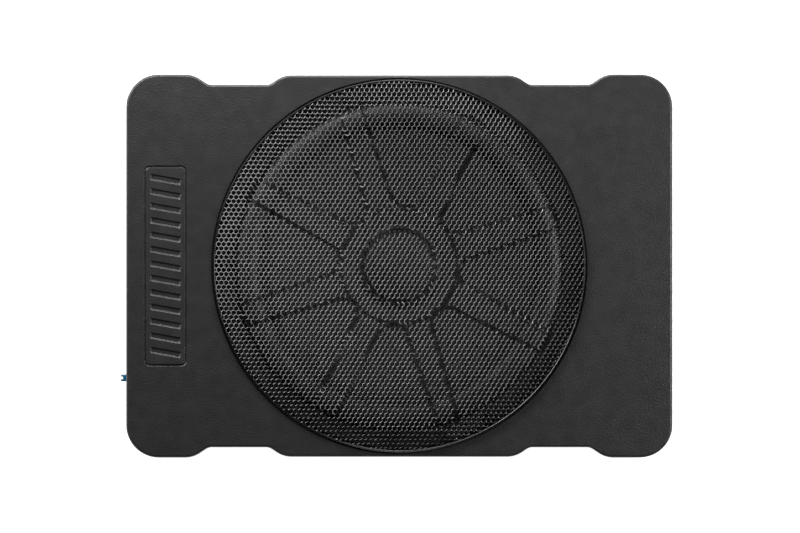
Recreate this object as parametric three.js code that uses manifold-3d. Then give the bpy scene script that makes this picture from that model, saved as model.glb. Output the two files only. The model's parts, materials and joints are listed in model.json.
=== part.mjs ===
// A powered under-seat car subwoofer: a flat housing with a shallow 10 inch woofer behind a pressed
// steel grille, an amplifier board along one short end, and its sockets and controls in a bay there.
// Millimetres, +Z up. The origin is on the ground under the middle of the housing, the long side of
// the housing runs along X, and the control bay faces -X.
import * as THREE from 'three';
import { mergeVertices } from 'three/addons/utils/BufferGeometryUtils.js';
import Module from 'manifold-3d';

const wasm = await Module();
wasm.setup();

// ---------------------------------------------------------------- driving dimensions
const FACE_GAP = 0.3; // left between two pieces that touch
const OVERCUT = 1; // how far a cutting tool runs past the face it cuts

// Housing
const BODY_LENGTH = 402;
const BODY_WIDTH = 282; // across the four corner tabs
const FOOT_HEIGHT = 3;
const BASE_THICK = 2.5;
const SEAL_THICK = 1;
const WALL = 3.5;
const CORNER_RADIUS = 24;
const EDGE_RADIUS = 2; // around the top face
const MID_STEP = 0.6; // the long sides stand this far inside the corner tabs
const NOTCH_INSET = 83; // from the end to the middle of each side notch
const NOTCH_FLOOR = 44.5;
const NOTCH_DEPTH = 7.6;
const NOTCH_SLOPE = 1.5; // run over rise of the notch ends
const TAB_ROUND = 3;

// Badge pressed into the top face
const BADGE_INSET = 29; // from the end to the middle of the badge
const BADGE_WIDTH = 32;
const BADGE_LENGTH = 148;
const BADGE_CORNER = 4.5;
const BADGE_GROOVE = 1.6;
const BADGE_DEPTH = 1;
const BADGE_BARS = 13;
const BADGE_BAR = 4.8;
const BADGE_BAR_LENGTH = 23;
const BADGE_MARGIN = 6;
const BADGE_SLANT = Math.PI / 18;

// Grille and the seat that it lies in
const RIM_WALL = 2; // housing left outside the grille seat
const SEAT_DEPTH = 3.5;
const SEAT_LEDGE = 3.2;
const GRILLE_CLEAR = 0.8;
const GRILLE_GASKET = 1.2;
const GRILLE_SHEET = 1;
const GRILLE_RISE = 6.5; // crown above the top face
const EMBOSS = 2; // how far the hub and the spokes are pressed up from the sheet
const SPOKES = 8;
const SPOKE_ANGLE = THREE.MathUtils.degToRad(17.5);
const SPOKE_ROOT = 20; // width at the hub
const SPOKE_TIP = 15; // width at the shoulder
const HUB_OUTER = 42.5;
const HUB_INNER = 26.5;
const EMBOSS_RAMP = 3;

// Woofer
const POCKET_DEPTH = 18; // top face to the ledge that the basket rests on
const LEDGE_THICK = 4;
const LEDGE_WIDTH = 11.7;
const BASKET_CLEAR = 0.7;
const BASKET_GASKET = 1;
const FLANGE_THICK = 3;
const FLANGE_WIDTH = 16.5;
const BASKET_DEPTH = 28;
const BASKET_WALL = 3;
const BASKET_HEEL = 4;
const BASKET_RIM = 5.5;
const BASKET_ARMS = 6;
const BASKET_ARM_ANGLE = THREE.MathUtils.degToRad(16);
const BASKET_SCREW_INSET = 4;
const SURROUND_THICK = 1.2;
const SURROUND_LIP = 4.4;
const SURROUND_HEIGHT = 9;
const CONE_EDGE_INSET = 34.2; // pocket wall to the rim of the cone
const CONE_THICK = 1.2;
const CONE_DEPTH = 13;
const CONE_RIBS = 8;
const CONE_RIB_LENGTH = 19;
const CONE_RIB_WIDTH = 4;
const CONE_RIB_HEIGHT = 1.6;
const CONE_RIB_INSET = 2.5;
const CAP_OVERHANG = 6; // dust cap beyond the former
const CAP_HEIGHT = 6;
const CAP_THICK = 1;
const COIL_RADIUS = 25; // inside of the former
const FORMER_THICK = 0.5;
const WINDING_THICK = 1.2;
const WINDING_GAP = 0.2;
const WINDING_HEIGHT = 18;
const COIL_CLEAR = 0.7;
const FRONT_PLATE_RADIUS = 58;
const FRONT_PLATE_THICK = 6;
const MAGNET_RADIUS = 62;
const MAGNET_BORE = 32;
const MAGNET_THICK = 13.9;
const YOKE_RADIUS = 58;
const YOKE_THICK = 5;
const POLE_VENT = 8;
const MOTOR_CLEAR = 2.3; // yoke to the base plate
const SPIDER_RISE = 8; // spider ledge above the basket's foot
const SPIDER_LEDGE = 6.5;
const SPIDER_THICK = 0.8;
const SPIDER_WAVE = 1.2;
const SPIDER_WAVES = 2;
const LEAD_RADIUS = 0.6;
const LEAD_SPACING = 8;

// Control bay in the -X end
const BAY_END = 9; // from the outermost sockets to the ends of the bay
const SOCKET_GAP = 6;
const BAY_BOTTOM = 17;
const BAY_HEIGHT = 40;
const BAY_DEPTH = 10.5;
const BAY_CORNER = 5;
const BAY_RIM = 3;
const PANEL_THICK = 2;
const PANEL_HOLE_CLEAR = 0.3;
const CONTROL_Z = 37;

const FUSE_PROUD = 4.4; // blade fuse standing out of the housing's end
const FUSE_WIDTH = 19;
const FUSE_THICK = 5.2;
const FUSE_HEAD = 12;
const FUSE_BLADE = 7;
const FUSE_BLADE_WIDTH = 5.2;
const FUSE_BLADE_THICK = 0.8;
const FUSE_BLADE_SPACING = 13;
const FUSE_PULL_CLEAR = 0.4;
const HOLDER_WALL = 2;
const HOLDER_LIP = 3.5;
const HOLDER_DEPTH = 13;

const HARNESS_WIDTH = 30;
const HARNESS_HEIGHT = 18;
const HARNESS_WALL = 2.2;
const HARNESS_PROUD = 8;
const HARNESS_BACK = 12;
const HARNESS_SOCKET = 13;

const REMOTE_WIDTH = 13;
const REMOTE_HEIGHT = 12.6;
const REMOTE_PROUD = 2;
const REMOTE_BACK = 14;
const REMOTE_SOCKET = 11;
const REMOTE_WALL = 1.7;

const KNOB_NAMES = ['gain', 'crossover', 'bass'];
const KNOB_PITCH = 21;
const KNOB_RADIUS = 6.5;
const KNOB_HEIGHT = 8;
const KNOB_FLUTES = 9;
const KNOB_FLUTE_RADIUS = 0.9;
const KNOB_POINTER = 1.2;
const SHAFT_RADIUS = 2.9;
const SHAFT_CLEAR = 0.5;
const SHAFT_DEPTH = 7; // into the potentiometer
const POT_WIDTH = 13;
const POT_DEPTH = 10;
const POT_TOP = 8; // above the shaft

const SWITCH_TRAVEL = 2; // each way from the middle of the slot
const SWITCHES = [
  ['level', 44, 0],
  ['phase', 31, -SWITCH_TRAVEL],
];
const SLIDER_WIDTH = 3.4;
const SLIDER_HEIGHT = 3;
const SLIDER_PROUD = 3;
const SLIDER_CLEAR = 0.4;
const SLIDER_FOOT = 1.6;
const SLIDER_FOOT_MARGIN = 1;

const RCA_PITCH = 15.5;
const RCA_RISE = 1; // above the middle of the controls
const RCA_RADIUS = 4.15;
const RCA_BORE = 1.7;
const RCA_PROUD = 9.6;
const RCA_BLOCK_WIDTH = 16;
const RCA_BLOCK_DEPTH = 16;
const RCA_COLLAR = 2;

const LED_Z = 47;
const LED_RADIUS = 1.5;
const LED_PROUD = 1.4;

// Amplifier board
const BOARD_RISE = 16.9; // underside above the base plate
const BOARD_THICK = 1.6;
const BOARD_WIDTH = 196;
const BOARD_DEPTH = 56;
const POST_RADIUS = 3;
const BOARD_HOLE_RADIUS = 1.6;
const POST_GAP = 1; // to the heat sink
const POST_Y = [-92, 30, 92];
const SINK_WIDTH = 12;
const SINK_LENGTH = 120;
const SINK_FINS = 4;
const SINK_SLOT = 1.6;
const SINK_INSET = 3;
const CAPACITOR_RADIUS = 9;
const CAPACITOR_HEIGHT = 20;
const CAPACITOR_Y = [52, 75];
const CAPACITOR_X = 44; // behind the panel
const COIL_CORE_RADIUS = 10.5;
const COIL_CORE_TUBE = 4.5;
const COIL_CORE_Y = -66;
const COIL_CORE_X = 38; // behind the panel
const TERMINAL_WIDTH = 18;
const TERMINAL_HEIGHT = 10;
const TERMINAL_DEPTH = 12;
const TERMINAL_INSET = 1.8; // from the basket's wall
const WIRE_RADIUS = 1.2;
const WIRE_LANDING = 14; // in from the board's edge, and at least this far from the woofer

// Screws and mounts
const BASE_SCREW_EDGE = 7; // in from the round of each corner
const BASE_SCREW_MID_INSET = 10;
const BOSS_RADIUS = 5;
const SCREW_RADIUS = 1.9;
const SCREW_HEAD_RADIUS = 3.8;
const SCREW_HEAD_HEIGHT = 2.4;
const SCREW_LENGTH = 14;
const SCREW_CLEAR = 0.35;
const BASKET_SCREW_LENGTH = 7;
const BRACKET_HOLE_RADIUS = 2.1;
const BRACKET_HOLE_DEPTH = 9;
const BRACKET_HOLE_Z = 20;
const BRACKET_BOSS = 6;
const FOOT_RADIUS = 11;
const FOOT_INSET = [36, 30];

// Facets
const LARGE_ROUND = 36;
const MEDIUM_ROUND = 24;
const SMALL_ROUND = 12;
const CURVE_STEPS = 4;

// ---------------------------------------------------------------- derived places
const halfLength = BODY_LENGTH / 2;
const halfWidth = BODY_WIDTH / 2;
const notchX = halfLength - NOTCH_INSET;
const badgeX = BADGE_INSET - halfLength;
const baseBottom = FOOT_HEIGHT;
const baseTop = baseBottom + BASE_THICK;
const sealBottom = baseTop + FACE_GAP;
const housingBottom = sealBottom + SEAL_THICK + FACE_GAP;

// The woofer's motor, basket and pocket, one on another, set the height of the top face.
const yokeBottom = baseTop + MOTOR_CLEAR;
const yokeTop = yokeBottom + YOKE_THICK;
const magnetBottom = yokeTop + FACE_GAP;
const magnetTop = magnetBottom + MAGNET_THICK;
const frontPlateBottom = magnetTop + FACE_GAP;
const frontPlateTop = frontPlateBottom + FRONT_PLATE_THICK;
const basketFoot = frontPlateTop + FACE_GAP;
const flangeBottom = basketFoot + BASKET_DEPTH;
const flangeTop = flangeBottom + FLANGE_THICK;
const ledgeZ = flangeBottom - BASKET_GASKET - 2 * FACE_GAP;
const topZ = ledgeZ + POCKET_DEPTH;

const seatRadius = halfWidth - MID_STEP - RIM_WALL;
const seatZ = topZ - SEAT_DEPTH;
const pocketRadius = seatRadius - SEAT_LEDGE;
const grilleRadius = seatRadius - GRILLE_CLEAR;
const grilleBottom = seatZ + GRILLE_GASKET + 2 * FACE_GAP;
const grilleTop = topZ + GRILLE_RISE;

const openingRadius = pocketRadius - LEDGE_WIDTH;
const flangeRadius = pocketRadius - BASKET_CLEAR;
const flangeInner = flangeRadius - FLANGE_WIDTH;
const basketRadius = openingRadius - BASKET_CLEAR;
const basketHeel = MAGNET_RADIUS + 2;
const basketHeelTop = basketFoot + BASKET_HEEL;
const basketOpenTo = basketRadius - BASKET_WALL - BASKET_RIM;
const wallFoot = ledgeZ - LEDGE_THICK - BASKET_RIM;
const basketScrewRadius = flangeRadius - BASKET_SCREW_INSET;
const surroundOuter = basketScrewRadius - SCREW_HEAD_RADIUS - FACE_GAP;
const rollOuter = surroundOuter - SURROUND_LIP;
const coneRadius = pocketRadius - CONE_EDGE_INSET;
const coneLipInner = coneRadius - SURROUND_LIP;
const coneTop = flangeTop; // the surround's two lips are level
const coneNeckTop = coneTop - CONE_DEPTH;
const formerRadius = COIL_RADIUS + FORMER_THICK;
const neckRadius = formerRadius + FACE_GAP;
const capRadius = COIL_RADIUS + CAP_OVERHANG;
const coneFoot = neckRadius + 3; // where the cone starts to climb
const coneSlope = CONE_DEPTH / (coneLipInner - 1 - coneFoot);
const windingInner = formerRadius + WINDING_GAP;
const windingOuter = windingInner + WINDING_THICK;
const gapMiddle = (frontPlateTop + frontPlateBottom) / 2;
const spiderLedgeZ = basketFoot + SPIDER_RISE;
const spiderOuter = MAGNET_RADIUS + SPIDER_LEDGE - FACE_GAP;

const panelFace = -halfLength + BAY_DEPTH; // x of the panel's outer face
const panelBack = panelFace + PANEL_THICK;
const behindPanel = panelBack + FACE_GAP;
const boardBottom = baseTop + BOARD_RISE;
const boardTop = boardBottom + BOARD_THICK;
const boardEnd = behindPanel + BOARD_DEPTH;
const sinkInner = boardEnd - SINK_INSET - SINK_WIDTH;
const postX = sinkInner - POST_GAP - POST_RADIUS;
const onBoard = boardTop + FACE_GAP; // the sockets stand on the board
const holderWidth = FUSE_THICK + 2 * (FUSE_PULL_CLEAR + HOLDER_WALL);
const holderHeight = FUSE_WIDTH + 2 * (FUSE_PULL_CLEAR + HOLDER_WALL);
const fuseZ = onBoard + holderHeight / 2;
const harnessZ = onBoard + HARNESS_HEIGHT / 2;
const remoteZ = onBoard + REMOTE_HEIGHT / 2;
const sliderRun = SLIDER_WIDTH + 2 * SWITCH_TRAVEL + 2 * SLIDER_CLEAR;
const sliderFoot = sliderRun / 2 + SWITCH_TRAVEL;

// The row of sockets and controls, from -Y to +Y. Its length sets the length of the bay.
const fuseAt = BAY_END + holderWidth / 2;
const harnessAt = fuseAt + holderWidth / 2 + SOCKET_GAP + HARNESS_WIDTH / 2;
const remoteAt = harnessAt + HARNESS_WIDTH / 2 + SOCKET_GAP + REMOTE_WIDTH / 2;
const ledAt = remoteAt + REMOTE_WIDTH / 2 + SOCKET_GAP + LED_RADIUS;
const knobsAt = ledAt + LED_RADIUS + SOCKET_GAP + KNOB_RADIUS;
const switchAt = knobsAt + (KNOB_NAMES.length - 1) * KNOB_PITCH + KNOB_RADIUS + SOCKET_GAP + sliderFoot;
const rcaAt = switchAt + sliderFoot + SOCKET_GAP + RCA_BLOCK_WIDTH / 2;
const bayLength = rcaAt + RCA_BLOCK_WIDTH / 2 + BAY_END;
const socketsAt = [fuseAt, harnessAt, remoteAt, ledAt, switchAt, rcaAt];
const [fuseY, harnessY, remoteY, ledY, switchY, rcaY] = socketsAt.map((at) => at - bayLength / 2);
const knobY = (i) => knobsAt - bayLength / 2 + i * KNOB_PITCH;
const rcaHeights = [CONTROL_Z - RCA_PITCH / 2 + RCA_RISE, CONTROL_Z + RCA_PITCH / 2 + RCA_RISE];

// ---------------------------------------------------------------- shape helpers
const solid = (geometry) => {
  const bare = geometry.clone();
  bare.deleteAttribute('normal');
  bare.deleteAttribute('uv');
  const merged = mergeVertices(bare, 1e-4);
  return new wasm.Manifold(
    new wasm.Mesh({
      numProp: 3,
      vertProperties: new Float32Array(merged.attributes.position.array),
      triVerts: new Uint32Array(merged.index.array),
    }),
  );
};

const geometryOf = (manifold) => {
  const mesh = manifold.getMesh();
  const geometry = new THREE.BufferGeometry();
  geometry.setAttribute('position', new THREE.BufferAttribute(mesh.vertProperties, 3));
  geometry.setIndex(new THREE.BufferAttribute(mesh.triVerts, 1));
  return geometry;
};

const block = (x0, x1, y0, y1, z0, z1) =>
  new THREE.BoxGeometry(x1 - x0, y1 - y0, z1 - z0).translate((x0 + x1) / 2, (y0 + y1) / 2, (z0 + z1) / 2);

// A cylinder standing on z0, or one lying along X or Y from the first coordinate to the second.
const post = (radius, z0, z1, sides = LARGE_ROUND) =>
  new THREE.CylinderGeometry(radius, radius, z1 - z0, sides)
    .rotateX(Math.PI / 2)
    .translate(0, 0, (z0 + z1) / 2);
const rodX = (radius, x0, x1, sides = SMALL_ROUND) =>
  new THREE.CylinderGeometry(radius, radius, x1 - x0, sides)
    .rotateZ(Math.PI / 2)
    .translate((x0 + x1) / 2, 0, 0);
const rodY = (radius, y0, y1, sides = SMALL_ROUND) =>
  new THREE.CylinderGeometry(radius, radius, y1 - y0, sides).translate(0, (y0 + y1) / 2, 0);

// A profile of [radius, z] pairs turned about Z. It may start and end on the axis, or close on itself.
const turned = (profile, sides = MEDIUM_ROUND) => {
  const points = profile.map(([r, z]) => new THREE.Vector2(r, z));
  if (THREE.ShapeUtils.area(points) < 0) points.reverse();
  const onAxis = points.every((p) => p.x > 0) === false;
  if (onAxis) {
    while (points[0].x > 0 || points[points.length - 1].x > 0) points.push(points.shift());
  } else {
    points.push(points[0].clone());
  }
  return new THREE.LatheGeometry(points, sides).rotateX(Math.PI / 2);
};

const prism = (shape, z0, z1) => {
  const depth = { depth: z1 - z0, bevelEnabled: false, curveSegments: CURVE_STEPS };
  return new THREE.ExtrudeGeometry(shape, depth).translate(0, 0, z0);
};

const tube = (points, radius, steps, sides = 8) => {
  const section = new THREE.Shape();
  section.absarc(0, 0, radius, 0, 2 * Math.PI, false);
  const path = new THREE.CatmullRomCurve3(points.map((p) => new THREE.Vector3(...p)));
  return new THREE.ExtrudeGeometry(section, { extrudePath: path, steps, curveSegments: sides / 2 });
};

const roundedRectangle = (x, y, width, length, radius) => {
  const shape = new THREE.Shape();
  const [x0, x1, y0, y1] = [x - width / 2, x + width / 2, y - length / 2, y + length / 2];
  shape.moveTo(x0 + radius, y0);
  shape.lineTo(x1 - radius, y0);
  shape.absarc(x1 - radius, y0 + radius, radius, -Math.PI / 2, 0, false);
  shape.lineTo(x1, y1 - radius);
  shape.absarc(x1 - radius, y1 - radius, radius, 0, Math.PI / 2, false);
  shape.lineTo(x0 + radius, y1);
  shape.absarc(x0 + radius, y1 - radius, radius, Math.PI / 2, Math.PI, false);
  shape.lineTo(x0, y0 + radius);
  shape.absarc(x0 + radius, y0 + radius, radius, Math.PI, 1.5 * Math.PI, false);
  return shape;
};

// The housing's outline, moved inwards by inset: round corners and two notches in each long side.
const outline = (inset) => {
  const shape = new THREE.Shape();
  const radius = CORNER_RADIUS - inset;
  const [x, y] = [halfLength - inset, halfWidth - inset];
  const shift = inset * Math.tan(Math.atan(1 / NOTCH_SLOPE) / 2);
  const floorEnds = [notchX - NOTCH_FLOOR / 2 - shift, notchX + NOTCH_FLOOR / 2 + shift];
  const middle = [floorEnds[0] - (NOTCH_DEPTH - MID_STEP) * NOTCH_SLOPE, y - MID_STEP];
  const tab = [floorEnds[1] + NOTCH_DEPTH * NOTCH_SLOPE, y];
  const onSlope = [tab[0] - TAB_ROUND, y - TAB_ROUND / NOTCH_SLOPE];
  const floor = y - NOTCH_DEPTH;
  // One quarter from the end face to the middle of the long side, then the same quarter backwards.
  const quarter = (sx, sy, outwards) => {
    const steps = [
      (p) => p.lineTo(sx * (tab[0] + TAB_ROUND), sy * tab[1]),
      (p) => p.lineTo(sx * onSlope[0], sy * onSlope[1]),
      (p) => p.lineTo(sx * floorEnds[1], sy * floor),
      (p) => p.lineTo(sx * floorEnds[0], sy * floor),
      (p) => p.lineTo(sx * middle[0], sy * middle[1]),
    ];
    const round = [
      (p) => p.quadraticCurveTo(sx * tab[0], sy * tab[1], sx * onSlope[0], sy * onSlope[1]),
      (p) => p.quadraticCurveTo(sx * tab[0], sy * tab[1], sx * (tab[0] + TAB_ROUND), sy * tab[1]),
    ];
    if (outwards) {
      [steps[0], round[0], steps[2], steps[3], steps[4]].forEach((step) => step(shape));
    } else {
      [steps[4], steps[3], steps[2], steps[1], round[1]].forEach((step) => step(shape));
    }
  };
  shape.moveTo(x, -(y - radius));
  shape.lineTo(x, y - radius);
  shape.absarc(x - radius, y - radius, radius, 0, Math.PI / 2, false);
  quarter(1, 1, true);
  quarter(-1, 1, false);
  shape.lineTo(-(x - radius), y);
  shape.absarc(-(x - radius), y - radius, radius, Math.PI / 2, Math.PI, false);
  shape.lineTo(-x, -(y - radius));
  shape.absarc(-(x - radius), -(y - radius), radius, Math.PI, 1.5 * Math.PI, false);
  quarter(-1, -1, true);
  quarter(1, -1, false);
  shape.lineTo(x - radius, -y);
  shape.absarc(x - radius, -(y - radius), radius, 1.5 * Math.PI, 2 * Math.PI, false);
  return shape;
};

const ring = (outer, inner, z0, z1, sides = LARGE_ROUND) =>
  turned([[inner, z0], [outer, z0], [outer, z1], [inner, z1]], sides);

const around = (count, radius, start = 0) =>
  Array.from({ length: count }, (_, i) => {
    const angle = start + (i * 2 * Math.PI) / count;
    return [radius * Math.cos(angle), radius * Math.sin(angle), angle];
  });

// ---------------------------------------------------------------- materials
const paint = (color, roughness, metalness = 0) =>
  new THREE.MeshStandardMaterial({ color, roughness, metalness });
const powderCoat = paint(0x2c2c2d, 0.62, 0.2);
const grilleSteel = paint(0x1d1d1e, 0.45, 0.6);
const plate = paint(0x232324, 0.55, 0.4);
const rubber = paint(0x141414, 0.85);
const foam = paint(0x101010, 0.95);
const castAlloy = paint(0x2a2a2b, 0.5, 0.5);
const conePaper = paint(0x1a1a1b, 0.7);
const copper = paint(0xb06a3a, 0.35, 0.9);
const kapton = paint(0x8a5a20, 0.4);
const cloth = paint(0xa87a3a, 0.9);
const zinc = paint(0xb9bbb8, 0.35, 0.9);
const ferrite = paint(0x2b2b2e, 0.8);
const blackPlastic = paint(0x17171a, 0.45);
const nickel = paint(0xc8c8c4, 0.25, 1);
const blackScrew = paint(0x161617, 0.4, 0.7);
const boardGreen = paint(0x1d5a34, 0.5);
const sinkAlloy = paint(0xa3a6a8, 0.4, 0.9);
const sleeveBlue = paint(0x23365e, 0.4);
const fuseBlue = paint(0x0b6fb8, 0.2);
const lensGreen = paint(0x3c9a4f, 0.2);
const redWire = paint(0xa01c1c, 0.5);
const blackWire = paint(0x151515, 0.5);

const piece = (parent, name, shape, material, position = [0, 0, 0]) => {
  const geometry = shape.isBufferGeometry ? shape : geometryOf(shape);
  const mesh = new THREE.Mesh(geometry, material);
  mesh.name = name;
  mesh.position.set(...position);
  parent.add(mesh);
  return mesh;
};

const subwoofer = new THREE.Group();

// ---------------------------------------------------------------- enclosure
const enclosure = new THREE.Group();
subwoofer.add(enclosure);

const baseScrewPlaces = [];
const cornerInset = CORNER_RADIUS - (CORNER_RADIUS - BASE_SCREW_EDGE) / Math.SQRT2;
for (const sy of [-1, 1]) {
  for (const sx of [-1, 1]) {
    baseScrewPlaces.push([sx * (halfLength - cornerInset), sy * (halfWidth - cornerInset)]);
  }
  baseScrewPlaces.push([0, sy * (halfWidth - BASE_SCREW_MID_INSET)]);
}
const screwTip = baseBottom + SCREW_LENGTH;
const bracketPlaces = [[-1, -1], [1, -1], [-1, 1], [1, 1]].map(([sx, sy]) => [sx * notchX, sy]);
const notchFloorY = halfWidth - NOTCH_DEPTH;

// Outer skin: the outline with its top edge rounded. The same rounding at the foot is trimmed off.
const outerSkin = () => {
  const height = topZ - housingBottom;
  const skin = new THREE.ExtrudeGeometry(outline(0), {
    depth: height,
    bevelThickness: EDGE_RADIUS,
    bevelSize: EDGE_RADIUS,
    bevelOffset: -EDGE_RADIUS,
    bevelSegments: 2,
    curveSegments: CURVE_STEPS,
  }).translate(0, 0, topZ - height - EDGE_RADIUS);
  const keep = block(-BODY_LENGTH, BODY_LENGTH, -BODY_WIDTH, BODY_WIDTH, housingBottom, topZ + OVERCUT);
  return solid(skin).intersect(solid(keep));
};

const bayTool = (grow, x0, x1) => {
  const shape = roundedRectangle(0, 0, BAY_HEIGHT + 2 * grow, bayLength + 2 * grow, BAY_CORNER + grow);
  return prism(shape, x0, x1).rotateY(Math.PI / 2).translate(0, 0, BAY_BOTTOM + BAY_HEIGHT / 2);
};

const badgeGroove = () => {
  const shape = roundedRectangle(badgeX, 0, BADGE_WIDTH, BADGE_LENGTH, BADGE_CORNER);
  const [width, length] = [BADGE_WIDTH - 2 * BADGE_GROOVE, BADGE_LENGTH - 2 * BADGE_GROOVE];
  shape.holes.push(roundedRectangle(badgeX, 0, width, length, BADGE_CORNER - BADGE_GROOVE));
  return solid(prism(shape, topZ - BADGE_DEPTH, topZ + OVERCUT));
};

// A row of slanted bars pressed into the field inside the groove.
const badgeBars = () => {
  const run = BADGE_LENGTH - 2 * BADGE_GROOVE - 2 * BADGE_MARGIN - BADGE_BAR;
  const bars = Array.from({ length: BADGE_BARS }, (_, i) =>
    new THREE.BoxGeometry(BADGE_BAR_LENGTH, BADGE_BAR, BADGE_DEPTH + OVERCUT)
      .rotateZ(-BADGE_SLANT)
      .translate(badgeX, (i / (BADGE_BARS - 1) - 0.5) * run, topZ + (OVERCUT - BADGE_DEPTH) / 2),
  );
  return bars.map(solid).reduce((a, b) => a.add(b));
};

const housing = () => {
  const skin = outerSkin();
  const ceiling = topZ - WALL;
  const wallRing = post(pocketRadius + WALL, ledgeZ - LEDGE_THICK, topZ - EDGE_RADIUS);
  let inside = solid(wallRing);
  for (const [i, [x, y]] of baseScrewPlaces.entries()) {
    const top = i % 3 === 2 ? ledgeZ - OVERCUT : ceiling + OVERCUT;
    inside = inside.add(solid(post(BOSS_RADIUS, housingBottom, top, SMALL_ROUND).translate(x, y, 0)));
  }
  for (const [x, sy] of bracketPlaces) {
    const boss = rodY(BRACKET_BOSS, notchFloorY - BRACKET_HOLE_DEPTH - 2, notchFloorY - OVERCUT);
    inside = inside.add(solid(boss.scale(1, sy, sy).translate(x, 0, BRACKET_HOLE_Z)));
  }
  inside = inside.add(solid(bayTool(BAY_RIM, -halfLength + OVERCUT, panelFace - FACE_GAP)));
  const cavity = solid(prism(outline(WALL), housingBottom - OVERCUT, ceiling));
  let body = skin.subtract(cavity).add(inside.intersect(skin));
  body = body.subtract(solid(post(pocketRadius, ledgeZ, topZ)));
  body = body.subtract(solid(post(openingRadius, ledgeZ - LEDGE_THICK - OVERCUT, topZ)));
  body = body.subtract(solid(post(seatRadius, seatZ, topZ + OVERCUT)));
  body = body.subtract(solid(bayTool(0, -halfLength - OVERCUT, panelFace)));
  body = body.subtract(badgeGroove()).subtract(badgeBars());
  for (const [x, y] of baseScrewPlaces) {
    const hole = post(SCREW_RADIUS + SCREW_CLEAR, housingBottom - OVERCUT, screwTip + 2, SMALL_ROUND);
    body = body.subtract(solid(hole.translate(x, y, 0)));
  }
  for (const [x, sy] of bracketPlaces) {
    const hole = rodY(BRACKET_HOLE_RADIUS, notchFloorY - BRACKET_HOLE_DEPTH, notchFloorY + OVERCUT);
    body = body.subtract(solid(hole.scale(1, sy, sy).translate(x, 0, BRACKET_HOLE_Z)));
  }
  for (const [x, y] of around(BASKET_ARMS, basketScrewRadius)) {
    const bore = SCREW_RADIUS + SCREW_CLEAR;
    const hole = post(bore, ledgeZ - LEDGE_THICK - OVERCUT, ledgeZ + OVERCUT, SMALL_ROUND);
    body = body.subtract(solid(hole.translate(x, y, 0)));
  }
  return body;
};
piece(enclosure, 'housing', housing(), powderCoat);

const basePlate = () => {
  let body = solid(prism(outline(WALL - SEAL_THICK - 1), baseBottom, baseTop));
  for (const y of POST_Y) {
    const support = post(POST_RADIUS, baseTop - OVERCUT, boardBottom - FACE_GAP, SMALL_ROUND);
    body = body.add(solid(support.translate(postX, y, 0)));
  }
  for (const [x, y] of baseScrewPlaces) {
    const hole = post(SCREW_RADIUS + SCREW_CLEAR, baseBottom - OVERCUT, baseTop + OVERCUT, SMALL_ROUND);
    body = body.subtract(solid(hole.translate(x, y, 0)));
  }
  return body;
};
piece(enclosure, 'base_plate', basePlate(), plate);

const baseSeal = () => {
  const outer = prism(outline(FACE_GAP), sealBottom, sealBottom + SEAL_THICK);
  const inner = prism(outline(WALL), sealBottom - OVERCUT, sealBottom + SEAL_THICK + OVERCUT);
  return solid(outer).subtract(solid(inner));
};
piece(enclosure, 'base_gasket', baseSeal(), foam);

const footProfile = [
  [0, 0],
  [FOOT_RADIUS - 1, 0],
  [FOOT_RADIUS, 1],
  [FOOT_RADIUS, FOOT_HEIGHT - FACE_GAP],
  [0, FOOT_HEIGHT - FACE_GAP],
];
[[-1, -1], [1, -1], [-1, 1], [1, 1]].forEach(([sx, sy], i) => {
  const place = [sx * (halfLength - FOOT_INSET[0]), sy * (halfWidth - FOOT_INSET[1]), 0];
  piece(enclosure, `foot_${i + 1}`, turned(footProfile, SMALL_ROUND), rubber, place);
});

// A pan-head screw, head down, with its head's seat at the local origin.
const screw = (length, head = SCREW_HEAD_RADIUS) =>
  turned([
    [0, -SCREW_HEAD_HEIGHT],
    [head * 0.6, -SCREW_HEAD_HEIGHT],
    [head, -SCREW_HEAD_HEIGHT * 0.35],
    [head, 0],
    [SCREW_RADIUS, 0],
    [SCREW_RADIUS, length],
    [0, length],
  ], 8);
baseScrewPlaces.forEach(([x, y], i) => {
  piece(enclosure, `base_screw_${i + 1}`, screw(SCREW_LENGTH - 2), blackScrew, [x, y, baseBottom - FACE_GAP]);
});

// ---------------------------------------------------------------- grille
const sheetZ = grilleTop - EMBOSS;
const shoulder = grilleRadius - 17; // where the spokes end and the rounded shoulder begins
const grilleSheet = () => {
  const profile = [
    [0, sheetZ],
    [HUB_INNER - EMBOSS_RAMP / 2, sheetZ],
    [HUB_INNER + EMBOSS_RAMP / 2, grilleTop],
    [HUB_OUTER - EMBOSS_RAMP / 2, grilleTop],
    [HUB_OUTER + EMBOSS_RAMP / 2, sheetZ],
    [shoulder, sheetZ],
    [grilleRadius - 11, sheetZ - 0.8],
    [grilleRadius - 6, sheetZ - 2.2],
    [grilleRadius - 2, sheetZ - 3.8],
    [grilleRadius, grilleBottom],
    [grilleRadius - GRILLE_SHEET, grilleBottom],
    [grilleRadius - 2.8, sheetZ - 4.6],
    [grilleRadius - 6.4, sheetZ - 3.2],
    [grilleRadius - 11.2, sheetZ - GRILLE_SHEET - 0.8],
    [shoulder, sheetZ - GRILLE_SHEET],
    [0, sheetZ - GRILLE_SHEET],
  ];
  const spoke = new THREE.Shape([
    new THREE.Vector2(HUB_OUTER - 3, -SPOKE_ROOT / 2),
    new THREE.Vector2(shoulder + 1, -SPOKE_TIP / 2),
    new THREE.Vector2(shoulder + 1, SPOKE_TIP / 2),
    new THREE.Vector2(HUB_OUTER - 3, SPOKE_ROOT / 2),
  ]);
  let body = solid(turned(profile, LARGE_ROUND));
  for (const [, , angle] of around(SPOKES, 1, SPOKE_ANGLE)) {
    body = body.add(solid(prism(spoke, sheetZ - GRILLE_SHEET / 2, grilleTop - 0.02).rotateZ(angle)));
  }
  return body;
};
piece(enclosure, 'grille', grilleSheet(), grilleSteel);
const gasketTop = seatZ + FACE_GAP + GRILLE_GASKET;
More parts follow.
